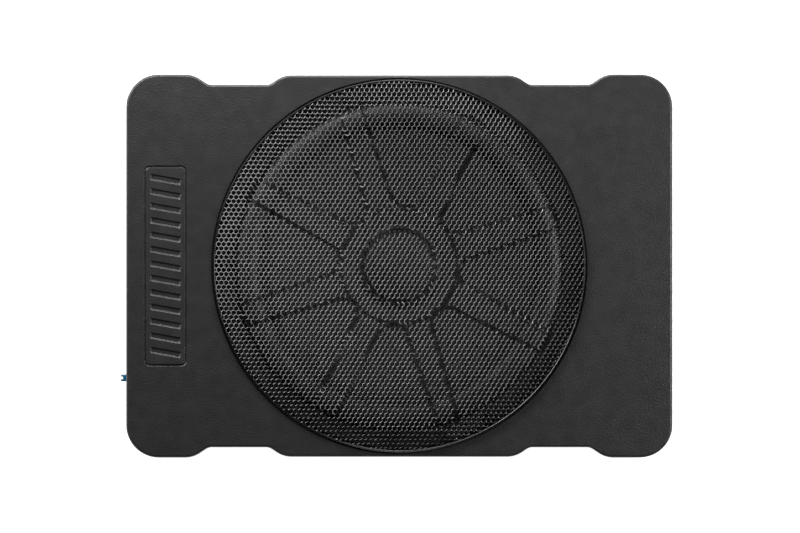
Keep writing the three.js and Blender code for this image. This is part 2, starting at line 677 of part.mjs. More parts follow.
const grilleGasket = ring(seatRadius - FACE_GAP, pocketRadius + FACE_GAP, seatZ + FACE_GAP, gasketTop);
piece(enclosure, 'grille_gasket', grilleGasket, foam);

// ---------------------------------------------------------------- woofer
const woofer = new THREE.Group();
subwoofer.add(woofer);

const basket = () => {
  const profile = [
    [FRONT_PLATE_RADIUS - 8, basketFoot],
    [basketHeel, basketFoot],
    [basketHeel, basketHeelTop],
    [basketRadius, wallFoot],
    [basketRadius, flangeBottom],
    [flangeRadius, flangeBottom],
    [flangeRadius, flangeTop],
    [flangeInner, flangeTop],
    [flangeInner, flangeTop - 2],
    [basketRadius - BASKET_WALL, flangeBottom - 0.6],
    [basketRadius - BASKET_WALL, wallFoot + 2.7],
    [MAGNET_RADIUS + SPIDER_LEDGE - 2, spiderLedgeZ],
    [MAGNET_RADIUS - 2, spiderLedgeZ],
    [MAGNET_RADIUS - 2, basketFoot + 3],
    [FRONT_PLATE_RADIUS - 8, basketFoot + 3],
  ];
  let body = solid(turned(profile, LARGE_ROUND));
  const half = Math.PI / BASKET_ARMS - BASKET_ARM_ANGLE / 2;
  const openFrom = MAGNET_RADIUS + SPIDER_LEDGE + 3.5;
  for (const [, , angle] of around(BASKET_ARMS, 1)) {
    const sector = new THREE.Shape();
    sector.absarc(0, 0, basketOpenTo, angle - half, angle + half, false);
    sector.absarc(0, 0, openFrom, angle + half, angle - half, true);
    body = body.subtract(solid(prism(sector, basketFoot - OVERCUT, flangeBottom)));
  }
  for (const [x, y] of around(BASKET_ARMS, basketScrewRadius)) {
    const hole = post(SCREW_RADIUS + SCREW_CLEAR, flangeBottom - OVERCUT, flangeTop + OVERCUT, SMALL_ROUND);
    body = body.subtract(solid(hole.translate(x, y, 0)));
  }
  return body;
};
piece(woofer, 'basket', basket(), castAlloy);

const basketGasket = () => {
  const gasketBottom = ledgeZ + FACE_GAP;
  let body = solid(ring(flangeRadius, openingRadius, gasketBottom, gasketBottom + BASKET_GASKET));
  for (const [x, y] of around(BASKET_ARMS, basketScrewRadius)) {
    const hole = post(SCREW_RADIUS + SCREW_CLEAR, ledgeZ, flangeBottom, SMALL_ROUND);
    body = body.subtract(solid(hole.translate(x, y, 0)));
  }
  return body;
};
piece(woofer, 'basket_gasket', basketGasket(), foam);

around(BASKET_ARMS, basketScrewRadius).forEach(([x, y], i) => {
  const one = piece(woofer, `basket_screw_${i + 1}`, screw(BASKET_SCREW_LENGTH), blackScrew);
  one.position.set(x, y, flangeTop + FACE_GAP);
  one.rotation.x = Math.PI;
});

const surround = () => {
  const [low, high] = [flangeTop + FACE_GAP, flangeTop + FACE_GAP + SURROUND_THICK];
  const middle = (coneRadius + rollOuter) / 2;
  const roll = (radius, height, steps) =>
    Array.from({ length: steps + 1 }, (_, i) => {
      const angle = Math.PI - (i * Math.PI) / steps;
      return [middle + radius * Math.cos(angle), low + height * Math.sin(angle)];
    });
  const outside = roll((rollOuter - coneRadius) / 2, SURROUND_HEIGHT + SURROUND_THICK, 6);
  const inside = roll((rollOuter - coneRadius) / 2 - SURROUND_THICK, SURROUND_HEIGHT, 6);
  outside[0][1] = high;
  outside[outside.length - 1][1] = high;
  return turned([
    [coneLipInner, low],
    [coneLipInner, high],
    ...outside,
    [surroundOuter, high],
    [surroundOuter, low],
    ...inside.reverse(),
  ], LARGE_ROUND);
};
piece(woofer, 'surround', surround(), rubber);

// The parts that move together with the cone.
const cone = new THREE.Group();
woofer.add(cone);

const coneBody = () => {
  const profile = [
    [neckRadius, coneNeckTop],
    [coneFoot, coneNeckTop + 0.2],
    [coneLipInner - 1, coneTop],
    [coneRadius, coneTop],
    [coneRadius, coneTop - CONE_THICK],
    [coneLipInner - 0.8, coneTop - CONE_THICK],
    [coneFoot + 0.2, coneNeckTop + 0.2 - CONE_THICK],
    [neckRadius, coneNeckTop - CONE_THICK],
  ];
  const ribMiddle = coneLipInner - CONE_RIB_INSET - CONE_RIB_LENGTH / 2;
  const ribZ = coneTop - (coneLipInner - ribMiddle) * coneSlope;
  let body = solid(turned(profile, LARGE_ROUND));
  for (const [x, y, angle] of around(CONE_RIBS, ribMiddle)) {
    const rib = new THREE.BoxGeometry(CONE_RIB_LENGTH, CONE_RIB_WIDTH, CONE_RIB_HEIGHT)
      .rotateY(-Math.atan(coneSlope))
      .rotateZ(angle)
      .translate(x, y, ribZ + CONE_RIB_HEIGHT / 2 - 0.3);
    body = body.add(solid(rib));
  }
  return body;
};
piece(cone, 'cone', coneBody(), conePaper);

const capRest = coneNeckTop + (capRadius - coneFoot) * coneSlope + 2 * FACE_GAP;
const dustCap = turned([
  [0, capRest + CAP_HEIGHT + CAP_THICK],
  [capRadius * 0.4, capRest + CAP_HEIGHT * 0.86 + CAP_THICK],
  [capRadius * 0.72, capRest + CAP_HEIGHT * 0.5 + CAP_THICK],
  [capRadius * 0.9, capRest + CAP_HEIGHT * 0.2 + CAP_THICK],
  [capRadius, capRest + CAP_THICK],
  [capRadius, capRest],
  [capRadius * 0.9, capRest + CAP_HEIGHT * 0.14],
  [capRadius * 0.72, capRest + CAP_HEIGHT * 0.5],
  [capRadius * 0.4, capRest + CAP_HEIGHT * 0.86],
  [0, capRest + CAP_HEIGHT],
]);
piece(cone, 'dust_cap', dustCap, conePaper);

const windingBottom = gapMiddle - WINDING_HEIGHT / 2;
const former = ring(formerRadius, COIL_RADIUS, windingBottom - 0.4, coneNeckTop + 0.8, MEDIUM_ROUND);
piece(cone, 'coil_former', former, kapton);
const winding = ring(windingOuter, windingInner, windingBottom, windingBottom + WINDING_HEIGHT, MEDIUM_ROUND);
piece(cone, 'coil_winding', winding, copper);

const spider = () => {
  const [inner, outer] = [neckRadius, MAGNET_RADIUS - 2];
  const mid = spiderLedgeZ + FACE_GAP;
  const count = SPIDER_WAVES * 2;
  const waves = Array.from({ length: count }, (_, i) => [
    inner + 3 + ((outer - inner - 3) * (i + 0.5)) / count,
    mid + (i % 2 === 0 ? SPIDER_WAVE : -SPIDER_WAVE),
  ]);
  const under = [[inner, mid], [inner + 3, mid], ...waves, [outer - 1, mid], [spiderOuter - 2, mid]];
  const over = under.map(([r, z]) => [r, z + SPIDER_THICK]).reverse();
  return turned([...under, ...over]);
};
piece(woofer, 'spider', spider(), cloth);

const poleRadius = COIL_RADIUS - COIL_CLEAR;
const plateBore = windingOuter + COIL_CLEAR;
const frontPlate = ring(FRONT_PLATE_RADIUS, plateBore, frontPlateBottom, frontPlateTop, MEDIUM_ROUND);
piece(woofer, 'front_plate', frontPlate, zinc);
piece(woofer, 'magnet', ring(MAGNET_RADIUS, MAGNET_BORE, magnetBottom, magnetTop, MEDIUM_ROUND), ferrite);
const yoke = turned([
  [POLE_VENT, yokeBottom],
  [YOKE_RADIUS - 2, yokeBottom],
  [YOKE_RADIUS, yokeBottom + 2],
  [YOKE_RADIUS, yokeTop],
  [poleRadius, yokeTop],
  [poleRadius, frontPlateTop],
  [POLE_VENT, frontPlateTop],
]);
piece(woofer, 'yoke', yoke, zinc);

const terminalOuter = -(basketRadius - TERMINAL_INSET);
const terminalInner = terminalOuter + TERMINAL_DEPTH;
const rimSlope = (wallFoot - basketHeelTop) / (basketRadius - basketHeel);
const rimUnderside = basketHeelTop + (basketOpenTo - basketHeel) * rimSlope;
const terminalTop = rimUnderside - FACE_GAP;
const terminalBlock = block(
  terminalOuter, terminalInner,
  -TERMINAL_WIDTH / 2, TERMINAL_WIDTH / 2,
  terminalTop - TERMINAL_HEIGHT, terminalTop,
);
piece(woofer, 'terminal_block', terminalBlock, blackPlastic);

// Tinsel leads hang in a loop between the terminal block and the underside of the cone.
const leadStart = terminalInner + FACE_GAP;
const leadEnd = -(neckRadius + 8);
const spiderTop = spiderLedgeZ + FACE_GAP + SPIDER_WAVE + SPIDER_THICK;
const leadMiddleZ = (spiderTop + coneNeckTop) / 2 + 2;
const leadAt = (share) => leadStart + (leadEnd - leadStart) * share;
[['plus', 1], ['minus', -1]].forEach(([name, side]) => {
  const y = (side * LEAD_SPACING) / 2;
  const z = terminalTop - 3.5;
  const route = [
    [leadAt(0), y, z],
    [leadAt(0.08), y, z - 0.3],
    [leadAt(0.3), y, (z + leadMiddleZ) / 2],
    [leadAt(0.6), y, leadMiddleZ],
    [leadAt(0.9), y, coneNeckTop - 2.4],
    [leadAt(1), y, coneNeckTop - 1.6],
  ];
  piece(woofer, `tinsel_lead_${name}`, tube(route, LEAD_RADIUS, 12, 6), copper);
});

// ---------------------------------------------------------------- control bay
const bay = new THREE.Group();
subwoofer.add(bay);

const controlPanel = () => {
  let body = solid(bayTool(BAY_RIM - FACE_GAP, panelFace, panelBack));
  const [x0, x1] = [panelFace - OVERCUT, panelBack + OVERCUT];
  const slot = (y, z, width, height) =>
    solid(block(x0, x1, y - width / 2, y + width / 2, z - height / 2, z + height / 2));
  const hole = (y, z, radius) => solid(rodX(radius, x0, x1).translate(0, y, z));
  const clear = 2 * PANEL_HOLE_CLEAR;
  const cuts = [
    slot(fuseY, fuseZ, holderWidth + clear, holderHeight + clear),
    slot(harnessY, harnessZ, HARNESS_WIDTH + clear, HARNESS_HEIGHT + clear),
    slot(remoteY, remoteZ, REMOTE_WIDTH + clear, REMOTE_HEIGHT + clear),
    hole(ledY, LED_Z, LED_RADIUS + PANEL_HOLE_CLEAR),
    ...KNOB_NAMES.map((_, i) => hole(knobY(i), CONTROL_Z, SHAFT_RADIUS + SHAFT_CLEAR)),
    ...SWITCHES.map(([, z]) => slot(switchY, z, sliderRun, SLIDER_HEIGHT + 2 * SLIDER_CLEAR)),
    ...rcaHeights.map((z) => hole(rcaY, z, RCA_RADIUS + RCA_COLLAR / 2)),
  ];
  cuts.forEach((cut) => (body = body.subtract(cut)));
  return body;
};

// Blade fuse, on its side in a holder, with its head standing out of the bay.
const fuseTip = -halfLength - FUSE_PROUD;
const fuseHeadBack = fuseTip + FUSE_HEAD;
const fuseHolder = () => {
  const seat = fuseHeadBack + FUSE_PULL_CLEAR;
  const [w, h] = [holderWidth / 2, holderHeight / 2];
  let body = solid(block(panelFace - HOLDER_LIP, panelBack + HOLDER_DEPTH, -w, w, -h, h));
  const [hw, hh] = [w - HOLDER_WALL, h - HOLDER_WALL];
  body = body.subtract(solid(block(panelFace - HOLDER_LIP - OVERCUT, seat, -hw, hw, -hh, hh)));
  for (const side of [-1, 1]) {
    const [bw, bh] = [FUSE_BLADE_THICK / 2 + FUSE_PULL_CLEAR, FUSE_BLADE_WIDTH / 2 + FUSE_PULL_CLEAR];
    const slot = block(seat - OVERCUT, fuseHeadBack + FUSE_BLADE + 1, -bw, bw, -bh, bh);
    body = body.subtract(solid(slot.translate(0, 0, (side * FUSE_BLADE_SPACING) / 2)));
  }
  return body;
};
const fuse = () => {
  const [w, h] = [FUSE_THICK / 2, FUSE_WIDTH / 2];
  let body = solid(block(fuseTip, fuseHeadBack, -w, w, -h, h));
  const waist = block(fuseTip + 3, fuseHeadBack - 2, w - 0.7, w + OVERCUT, -h + 2.5, h - 2.5);
  body = body.subtract(solid(waist.clone())).subtract(solid(waist.rotateX(Math.PI)));
  for (const side of [-1, 1]) {
    const blade = block(
      fuseHeadBack - OVERCUT, fuseHeadBack + FUSE_BLADE,
      -FUSE_BLADE_THICK / 2, FUSE_BLADE_THICK / 2,
      -FUSE_BLADE_WIDTH / 2, FUSE_BLADE_WIDTH / 2,
    );
    body = body.add(solid(blade.translate(0, 0, (side * FUSE_BLADE_SPACING) / 2)));
  }
  return body;
};
piece(bay, 'fuse_holder', fuseHolder(), blackPlastic, [0, fuseY, fuseZ]);
piece(bay, 'fuse', fuse(), fuseBlue, [0, fuseY, fuseZ]);

// A box whose mouth faces -X, with a socket sunk into it.
const socketBody = (proud, back, width, height, wall, depth) => {
  const [w, h] = [width / 2, height / 2];
  const body = solid(block(panelFace - proud, panelBack + back, -w, w, -h, h));
  const mouth = panelFace - proud;
  const hollow = block(mouth - OVERCUT, mouth + depth, -w + wall, w - wall, -h + wall, h - wall);
  return body.subtract(solid(hollow));
};
const harness = [HARNESS_PROUD, HARNESS_BACK, HARNESS_WIDTH, HARNESS_HEIGHT, HARNESS_WALL, HARNESS_SOCKET];
piece(bay, 'harness_socket', socketBody(...harness), blackPlastic, [0, harnessY, harnessZ]);
const remote = [REMOTE_PROUD, REMOTE_BACK, REMOTE_WIDTH, REMOTE_HEIGHT, REMOTE_WALL, REMOTE_SOCKET];
piece(bay, 'remote_jack', socketBody(...remote), blackPlastic, [0, remoteY, remoteZ]);

const led = rodX(LED_RADIUS, panelFace - LED_PROUD, panelBack + 4);
piece(bay, 'power_led', led, lensGreen, [0, ledY, LED_Z]);

// Three rotary controls: a fluted knob on its shaft, and the potentiometer behind the panel.
const knob = () => {
  const [x0, x1] = [panelFace - FACE_GAP - KNOB_HEIGHT, panelFace - FACE_GAP];
  let body = solid(rodX(KNOB_RADIUS, x0, x1, MEDIUM_ROUND));
  for (const [y, z] of around(KNOB_FLUTES, KNOB_RADIUS + KNOB_FLUTE_RADIUS / 3, Math.PI / KNOB_FLUTES)) {
    body = body.subtract(solid(rodX(KNOB_FLUTE_RADIUS, x0 - OVERCUT, x1 + OVERCUT, 6).translate(0, y, z)));
  }
  const w = KNOB_POINTER / 2;
  const pointer = block(x0 - OVERCUT, x0 + 0.6, -w, w, KNOB_RADIUS * 0.3, KNOB_RADIUS * 0.9);
  return body.subtract(solid(pointer)).add(solid(rodX(SHAFT_RADIUS, x1 - OVERCUT, panelBack + SHAFT_DEPTH)));
};
const potentiometer = () => {
  const w = POT_WIDTH / 2;
  const body = solid(block(behindPanel, behindPanel + POT_DEPTH, -w, w, onBoard - CONTROL_Z, POT_TOP));
  return body.subtract(solid(rodX(SHAFT_RADIUS + SHAFT_CLEAR, panelBack, panelBack + SHAFT_DEPTH + 1)));
};
KNOB_NAMES.forEach((name, i) => {
  piece(bay, `${name}_knob`, knob(), blackPlastic, [0, knobY(i), CONTROL_Z]);
  piece(bay, `${name}_pot`, potentiometer(), blackPlastic, [0, knobY(i), CONTROL_Z]);
});

// Two slide switches: the part that the finger pushes, kept in by a foot behind the panel.
const slider = () => {
  const [w, h] = [SLIDER_WIDTH / 2, SLIDER_HEIGHT / 2];
  const [fw, fh] = [sliderFoot, h + SLIDER_CLEAR + SLIDER_FOOT_MARGIN];
  const finger = solid(block(panelFace - SLIDER_PROUD, behindPanel + OVERCUT, -w, w, -h, h));
  return finger.add(solid(block(behindPanel, behindPanel + SLIDER_FOOT, -fw, fw, -fh, fh)));
};
SWITCHES.forEach(([name, z, rest]) => {
  piece(bay, `${name}_switch`, slider(), blackPlastic, [0, switchY + rest, z]);
});

// Two phono sockets, one above the other, in one moulded block on the board.
const rcaJack = () => {
  const barrel = rodX(RCA_RADIUS, panelFace - RCA_PROUD, panelBack, MEDIUM_ROUND);
  return solid(barrel).subtract(solid(rodX(RCA_BORE, panelFace - RCA_PROUD - OVERCUT, panelFace)));
};
['right', 'left'].forEach((name, i) => {
  piece(bay, `rca_jack_${name}`, rcaJack(), nickel, [0, rcaY, rcaHeights[i]]);
});
const rcaBlock = block(
  behindPanel, behindPanel + RCA_BLOCK_DEPTH,
  -RCA_BLOCK_WIDTH / 2, RCA_BLOCK_WIDTH / 2,
  onBoard, rcaHeights[1] + RCA_BLOCK_WIDTH / 2,
);
piece(bay, 'rca_block', rcaBlock, blackPlastic, [0, rcaY, 0]);
piece(bay, 'control_panel', controlPanel(), plate);

// ---------------------------------------------------------------- amplifier
const amplifier = new THREE.Group();
subwoofer.add(amplifier);

const board = () => {
  let body = solid(block(behindPanel, boardEnd, -BOARD_WIDTH / 2, BOARD_WIDTH / 2, boardBottom, boardTop));
  for (const y of POST_Y) {
    const hole = post(BOARD_HOLE_RADIUS, boardBottom - OVERCUT, boardTop + OVERCUT, SMALL_ROUND);
    body = body.subtract(solid(hole.translate(postX, y, 0)));
  }
  return body;
};
piece(amplifier, 'amp_board', board(), boardGreen);

const heatSink = () => {
  const [x0, x1] = [sinkInner, boardEnd - SINK_INSET];
  const [z0, z1] = [baseTop + FACE_GAP, boardBottom - FACE_GAP];
  let body = solid(block(x0, x1, -SINK_LENGTH / 2, SINK_LENGTH / 2, z0, z1));
  const pitch = (z1 - z0) / (SINK_FINS + 1);
  for (let i = 1; i <= SINK_FINS; i++) {
    const z = z0 + i * pitch;
    const slot = block(x0 + 4, x1 + OVERCUT, -SINK_LENGTH, SINK_LENGTH, z - SINK_SLOT / 2, z + SINK_SLOT / 2);
    body = body.subtract(solid(slot));
  }
  return body;
};
piece(amplifier, 'heat_sink', heatSink(), sinkAlloy);

CAPACITOR_Y.forEach((y, i) => {
  const can = post(CAPACITOR_RADIUS, onBoard, onBoard + CAPACITOR_HEIGHT, MEDIUM_ROUND);
  piece(amplifier, `capacitor_${i + 1}`, can, sleeveBlue, [panelBack + CAPACITOR_X, y, 0]);
});

const core = turned([
  [COIL_CORE_RADIUS - COIL_CORE_TUBE, onBoard + 1],
  [COIL_CORE_RADIUS - COIL_CORE_TUBE + 1, onBoard],
  [COIL_CORE_RADIUS + COIL_CORE_TUBE - 1, onBoard],
  [COIL_CORE_RADIUS + COIL_CORE_TUBE, onBoard + 1],
  [COIL_CORE_RADIUS + COIL_CORE_TUBE, onBoard + 2 * COIL_CORE_TUBE],
  [COIL_CORE_RADIUS - COIL_CORE_TUBE, onBoard + 2 * COIL_CORE_TUBE],
]);
piece(amplifier, 'inductor', core, copper, [panelBack + COIL_CORE_X, COIL_CORE_Y, 0]);

// Wires from the board to the woofer's terminal block, side by side.
[['plus', 1, redWire], ['minus', -1, blackWire]].forEach(([name, side, material]) => {
  const y = (side * LEAD_SPACING) / 2;
  const z = terminalTop - TERMINAL_HEIGHT / 2;
  const from = terminalOuter - FACE_GAP;
  const to = Math.min(boardEnd - WIRE_LANDING, from - WIRE_LANDING);
  const route = [
    [from, y, z],
    [from - 3, y, z - 0.3],
    [(from + to) / 2 - 3, y * 1.3, (z + onBoard) / 2 + 4],
    [to, y * 1.6, onBoard + 5],
    [to - 0.6, y * 1.6, onBoard],
  ];
  piece(amplifier, `speaker_wire_${name}`, tube(route, WIRE_RADIUS, 12, 8), material);
});

export default subwoofer;
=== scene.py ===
import bmesh
import bpy
import json
import math
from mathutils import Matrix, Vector


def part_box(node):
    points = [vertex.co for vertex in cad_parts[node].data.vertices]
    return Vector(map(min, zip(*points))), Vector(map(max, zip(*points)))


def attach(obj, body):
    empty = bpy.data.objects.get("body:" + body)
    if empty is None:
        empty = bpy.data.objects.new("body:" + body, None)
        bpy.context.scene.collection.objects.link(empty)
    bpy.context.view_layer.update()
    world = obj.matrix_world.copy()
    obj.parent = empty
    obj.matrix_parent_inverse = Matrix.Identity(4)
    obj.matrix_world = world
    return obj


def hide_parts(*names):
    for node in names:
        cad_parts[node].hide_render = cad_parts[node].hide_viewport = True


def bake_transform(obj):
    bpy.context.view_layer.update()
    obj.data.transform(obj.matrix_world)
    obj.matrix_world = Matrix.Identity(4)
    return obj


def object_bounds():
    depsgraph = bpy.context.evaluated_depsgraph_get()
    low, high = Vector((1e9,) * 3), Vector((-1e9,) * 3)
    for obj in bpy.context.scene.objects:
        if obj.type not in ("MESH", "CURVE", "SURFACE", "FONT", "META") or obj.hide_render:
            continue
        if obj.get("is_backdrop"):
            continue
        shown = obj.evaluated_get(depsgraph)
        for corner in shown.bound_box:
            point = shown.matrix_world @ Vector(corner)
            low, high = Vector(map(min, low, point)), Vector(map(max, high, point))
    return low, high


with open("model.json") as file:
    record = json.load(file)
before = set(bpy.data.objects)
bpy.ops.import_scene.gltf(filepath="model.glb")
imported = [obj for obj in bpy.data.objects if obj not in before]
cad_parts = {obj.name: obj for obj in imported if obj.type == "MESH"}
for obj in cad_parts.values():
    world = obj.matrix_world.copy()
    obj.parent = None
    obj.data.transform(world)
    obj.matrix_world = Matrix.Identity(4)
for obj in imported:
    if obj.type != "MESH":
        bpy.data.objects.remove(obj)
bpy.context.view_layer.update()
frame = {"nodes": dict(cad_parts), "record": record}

# ---- Camera -----------------------------------------------------------------------------------
# The subwoofer lies on its feet on a white table and is seen from straight above, from so far off
# that its walls don't show.
mm = 0.001
housing_low, housing_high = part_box("housing")
top_z = housing_high.z

SENSOR = 36 * mm
VIEW_WIDTH = 588.5 * mm  # what the picture takes in, at the top face
VIEW_MIDDLE = Vector((0.5 * mm, -0.4 * mm, top_z))
CAMERA_RISE = 12
bpy.ops.object.camera_add(location=VIEW_MIDDLE + Vector((0, 0, CAMERA_RISE)), rotation=(0, 0, 0))
camera = bpy.context.object
camera.name = "camera"
camera.data.lens_unit = "MILLIMETERS"
camera.data.sensor_width = SENSOR / mm
camera.data.lens = SENSOR * CAMERA_RISE / VIEW_WIDTH / mm
camera.data.clip_start = 0.1
camera.data.clip_end = 60
bpy.context.scene.camera = camera

# ---- Table and studio light --------------------------------------------------------------------
# A seamless white table top. A long soft box hangs low behind the far side, so that the top face
# falls away towards the near side, and a strip behind it picks out the far edge. A large box stands
# low at the upper left and rakes over the mesh, and weaker ones fill in from the right and above.
FLOOR_HALF = 6
bpy.ops.mesh.primitive_plane_add(size=2 * FLOOR_HALF, location=(0, 0, -0.2 * mm))
floor = bpy.context.object
floor.name = "table_top"
bpy.ops.object.transform_apply(location=True, rotation=True, scale=True)
white = bpy.data.materials.new("table_white")
white.use_nodes = True
white_nodes, white_links = white.node_tree.nodes, white.node_tree.links
white_shader = white_nodes["Principled BSDF"]
white_shader.inputs["Base Color"].default_value = (0.9, 0.9, 0.9, 1)
white_shader.inputs["Roughness"].default_value = 0.9
white_shader.inputs["Emission Color"].default_value = (1, 1, 1, 1)
white_shader.inputs["Emission Strength"].default_value = 1.0
floor.data.materials.append(white)
floor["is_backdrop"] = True

world = bpy.data.worlds.new("studio")
bpy.context.scene.world = world
world.use_nodes = True
world.node_tree.nodes["Background"].inputs["Color"].default_value = (1, 1, 1, 1)
world.node_tree.nodes["Background"].inputs["Strength"].default_value = 0.05
bpy.context.scene.view_settings.view_transform = "Standard"


def soft_box(name, place, aim, width, height, power):
    """An area lamp at place, turned to face aim, which the camera doesn't see."""
    bpy.ops.object.light_add(type="AREA", location=place)
    lamp = bpy.context.object
    lamp.name = name
    lamp.data.shape = "RECTANGLE"
    lamp.data.size = width
    lamp.data.size_y = height
    lamp.data.energy = power
    lamp.rotation_euler = (Vector(aim) - Vector(place)).to_track_quat("-Z", "Y").to_euler()
    lamp.visible_camera = False


soft_box("key", (-0.08, 0.38, 0.27), (0, 0.1, 0.07), 0.45, 0.12, 1.9)
soft_box("upper_left", (-1.0, 0.75, 0.55), (0, 0, 0.07), 0.9, 0.45, 19)
soft_box("far_strip", (0, 0.9, 0.15), (0, 0.14, 0.08), 1.0, 0.12, 3)
soft_box("right_fill", (0.75, 0.05, 0.6), (0.1, 0, 0.05), 0.3, 0.6, 5.5)
soft_box("overhead", (0, 0.4, 1.6), (0, 0, 0), 1.2, 0.8, 0.5)

# ---- Housing -----------------------------------------------------------------------------------
# The enclosure's shell is one deep alloy tray, open below, with a notch for a bracket beside each of
# its corner tabs. It is blasted and powder coated in black, and its top face has a rounded edge.
# The pocket that the woofer drops into, the bay for the controls and the badge are sunk into it.
WALL = 3.5 * mm
CORNER_RADIUS = 24 * mm
EDGE_RADIUS = 2 * mm
MID_STEP = 0.6 * mm
NOTCH_FLOOR = 44.5 * mm
NOTCH_DEPTH = 7.6 * mm
NOTCH_SLOPE = 1.5
TAB_ROUND = 5 * mm
HOLLOW_ROUND = 2 * mm
OVER = 1 * mm  # how far a cutting shape runs past the face that it cuts
FLUSH = 0.01 * mm  # how near a point has to lie to count as in a face
UPRIGHT = Vector((0, 0, 1))
X_AXIS = Vector((1, 0, 0))
Y_AXIS = Vector((0, 1, 0))

mounts = {m["name"]: m for m in frame["record"]["mounts"]}
panel_low, panel_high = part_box("control_panel")
gasket_low, gasket_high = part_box("grille_gasket")
basket_gasket_low, basket_gasket_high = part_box("basket_gasket")


def only(obj):
    """Leaves obj alone selected and active, in object mode."""
    if bpy.context.mode == "EDIT_MESH":
        bpy.ops.object.mode_set(mode="OBJECT")
    bpy.ops.object.select_all(action="DESELECT")
    obj.select_set(True)
    bpy.context.view_layer.objects.active = obj


def settle(obj):
    """Puts a piece's place, turn and size into its mesh."""
    only(obj)
    bpy.ops.object.transform_apply(location=True, rotation=True, scale=True)
    return obj


def pick(obj, kind, wanted):
    """Goes into edit mode with only the corners, edges or faces that are wanted selected."""
    only(obj)
    bpy.ops.object.mode_set(mode="EDIT")
    bpy.ops.mesh.select_mode(type=kind)
    bpy.ops.mesh.select_all(action="DESELECT")
    shape = bmesh.from_edit_mesh(obj.data)
    for part in {"VERT": shape.verts, "EDGE": shape.edges, "FACE": shape.faces}[kind]:
        if wanted(part):
            part.select_set(True)
    shape.select_flush_mode()
    bmesh.update_edit_mesh(obj.data)


def leave():
    bpy.ops.object.mode_set(mode="OBJECT")


def round_edges(obj, radius, wanted, segments=3):
    """Rounds the edges that are wanted. A crease has to turn by 20 degrees to count as an edge."""
    def crease(edge):
        return len(edge.link_faces) == 2 and edge.calc_face_angle(0) > math.radians(20) and wanted(edge)
    pick(obj, "EDGE", crease)
    bpy.ops.mesh.bevel(offset=radius, segments=segments, affect="EDGES", clamp_overlap=True)
    leave()
    return obj


def block(low, high):
    """A solid block between two corners."""
    low, high = Vector(low), Vector(high)
    bpy.ops.mesh.primitive_cube_add(size=1, location=(low + high) / 2, scale=high - low)
    return settle(bpy.context.object)


def rod(radius, start, end, sides=48):
    """A round bar between two points."""
    start, end = Vector(start), Vector(end)
    turn = (end - start).to_track_quat("Z", "Y").to_euler()
    bpy.ops.mesh.primitive_cylinder_add(
        vertices=sides, radius=radius, depth=(end - start).length, location=(start + end) / 2, rotation=turn
    )
    return settle(bpy.context.object)


def along(edge, axis):
    """Whether an edge runs along an axis."""
    run = edge.verts[1].co - edge.verts[0].co
    return run.length > 1e-7 and abs(run.normalized().dot(axis)) > 0.999


def upright(edge):
    return along(edge, UPRIGHT)


def lengthways(edge):
    return along(edge, X_AXIS)


def in_face(x):
    """Picks the edges of the end face that lies at x, on the side that the bay opens to."""
    return lambda edge: max(v.co.x for v in edge.verts) < x + FLUSH


def pillar(radius, place, z0, z1, sides=48):
    """An upright round bar over a place, between two heights."""
    return rod(radius, (place.x, place.y, z0), (place.x, place.y, z1), sides)


def slab(x0, x1, y, z, half_y, half_z):
    """A block between two places along the length, centred on y and z."""
    return block((x0, y - half_y, z - half_z), (x1, y + half_y, z + half_z))


def middle_of(node):
    low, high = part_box(node)
    return (low + high) / 2


def copy_of(obj):
    """A copy with a mesh of its own."""
    copied = obj.copy()
    copied.data = obj.data.copy()
    bpy.context.scene.collection.objects.link(copied)
    return copied


def join_shapes(obj, other, operation):
    only(obj)
    step = obj.modifiers.new("shape", "BOOLEAN")
    step.object = other
    step.operation = operation
    step.solver = "EXACT"
    bpy.ops.object.modifier_apply(modifier=step.name)
    bpy.data.objects.remove(other)
    return obj


def cut(obj, *tools):
    for tool in tools:
        join_shapes(obj, tool, "DIFFERENCE")
    return obj


def weld(obj, *others):
    for other in others:
        join_shapes(obj, other, "UNION")
    return obj


def bundle(*parts):
    """One object of several shapes that don't meet."""
    only(parts[0])
    for part in parts[1:]:
        part.select_set(True)
    bpy.ops.object.join()
    return parts[0]


def tray(inset, z0, z1):
    """A solid of the housing's outline, moved inwards by inset: round corners and four notches."""
    x1, y1 = housing_high.x - inset, housing_high.y - inset
    solid = block((-x1, -y1, z0), (x1, y1, z1))
    round_edges(solid, CORNER_RADIUS - inset, upright, segments=16)
    notch_x = mounts["bracket_pad_2"]["pos_m"][0]
    shift = inset * math.tan(math.atan(1 / NOTCH_SLOPE) / 2)
    floor_half = NOTCH_FLOOR / 2 + shift
    floor_y = y1 - NOTCH_DEPTH
    reach = NOTCH_DEPTH + OVER
    for sy in (-1, 1):
        middle = sorted((sy * (y1 - MID_STEP), sy * (y1 + OVER)))
        cut(solid, block((-notch_x, middle[0], z0 - OVER), (notch_x, middle[1], z1 + OVER)))
        for sx in (-1, 1):
            ys = sorted((sy * floor_y, sy * (floor_y + reach)))
            tool = block(
                (sx * notch_x - floor_half, ys[0], z0 - OVER), (sx * notch_x + floor_half, ys[1], z1 + OVER)
            )
            pick(tool, "VERT", lambda v: abs(v.co.y) > floor_y + OVER)
            widen = (floor_half + reach * NOTCH_SLOPE) / floor_half
            bpy.ops.transform.resize(value=(widen, 1, 1), center_override=(sx * notch_x, 0, 0))
            leave()
            cut(solid, tool)
    return solid


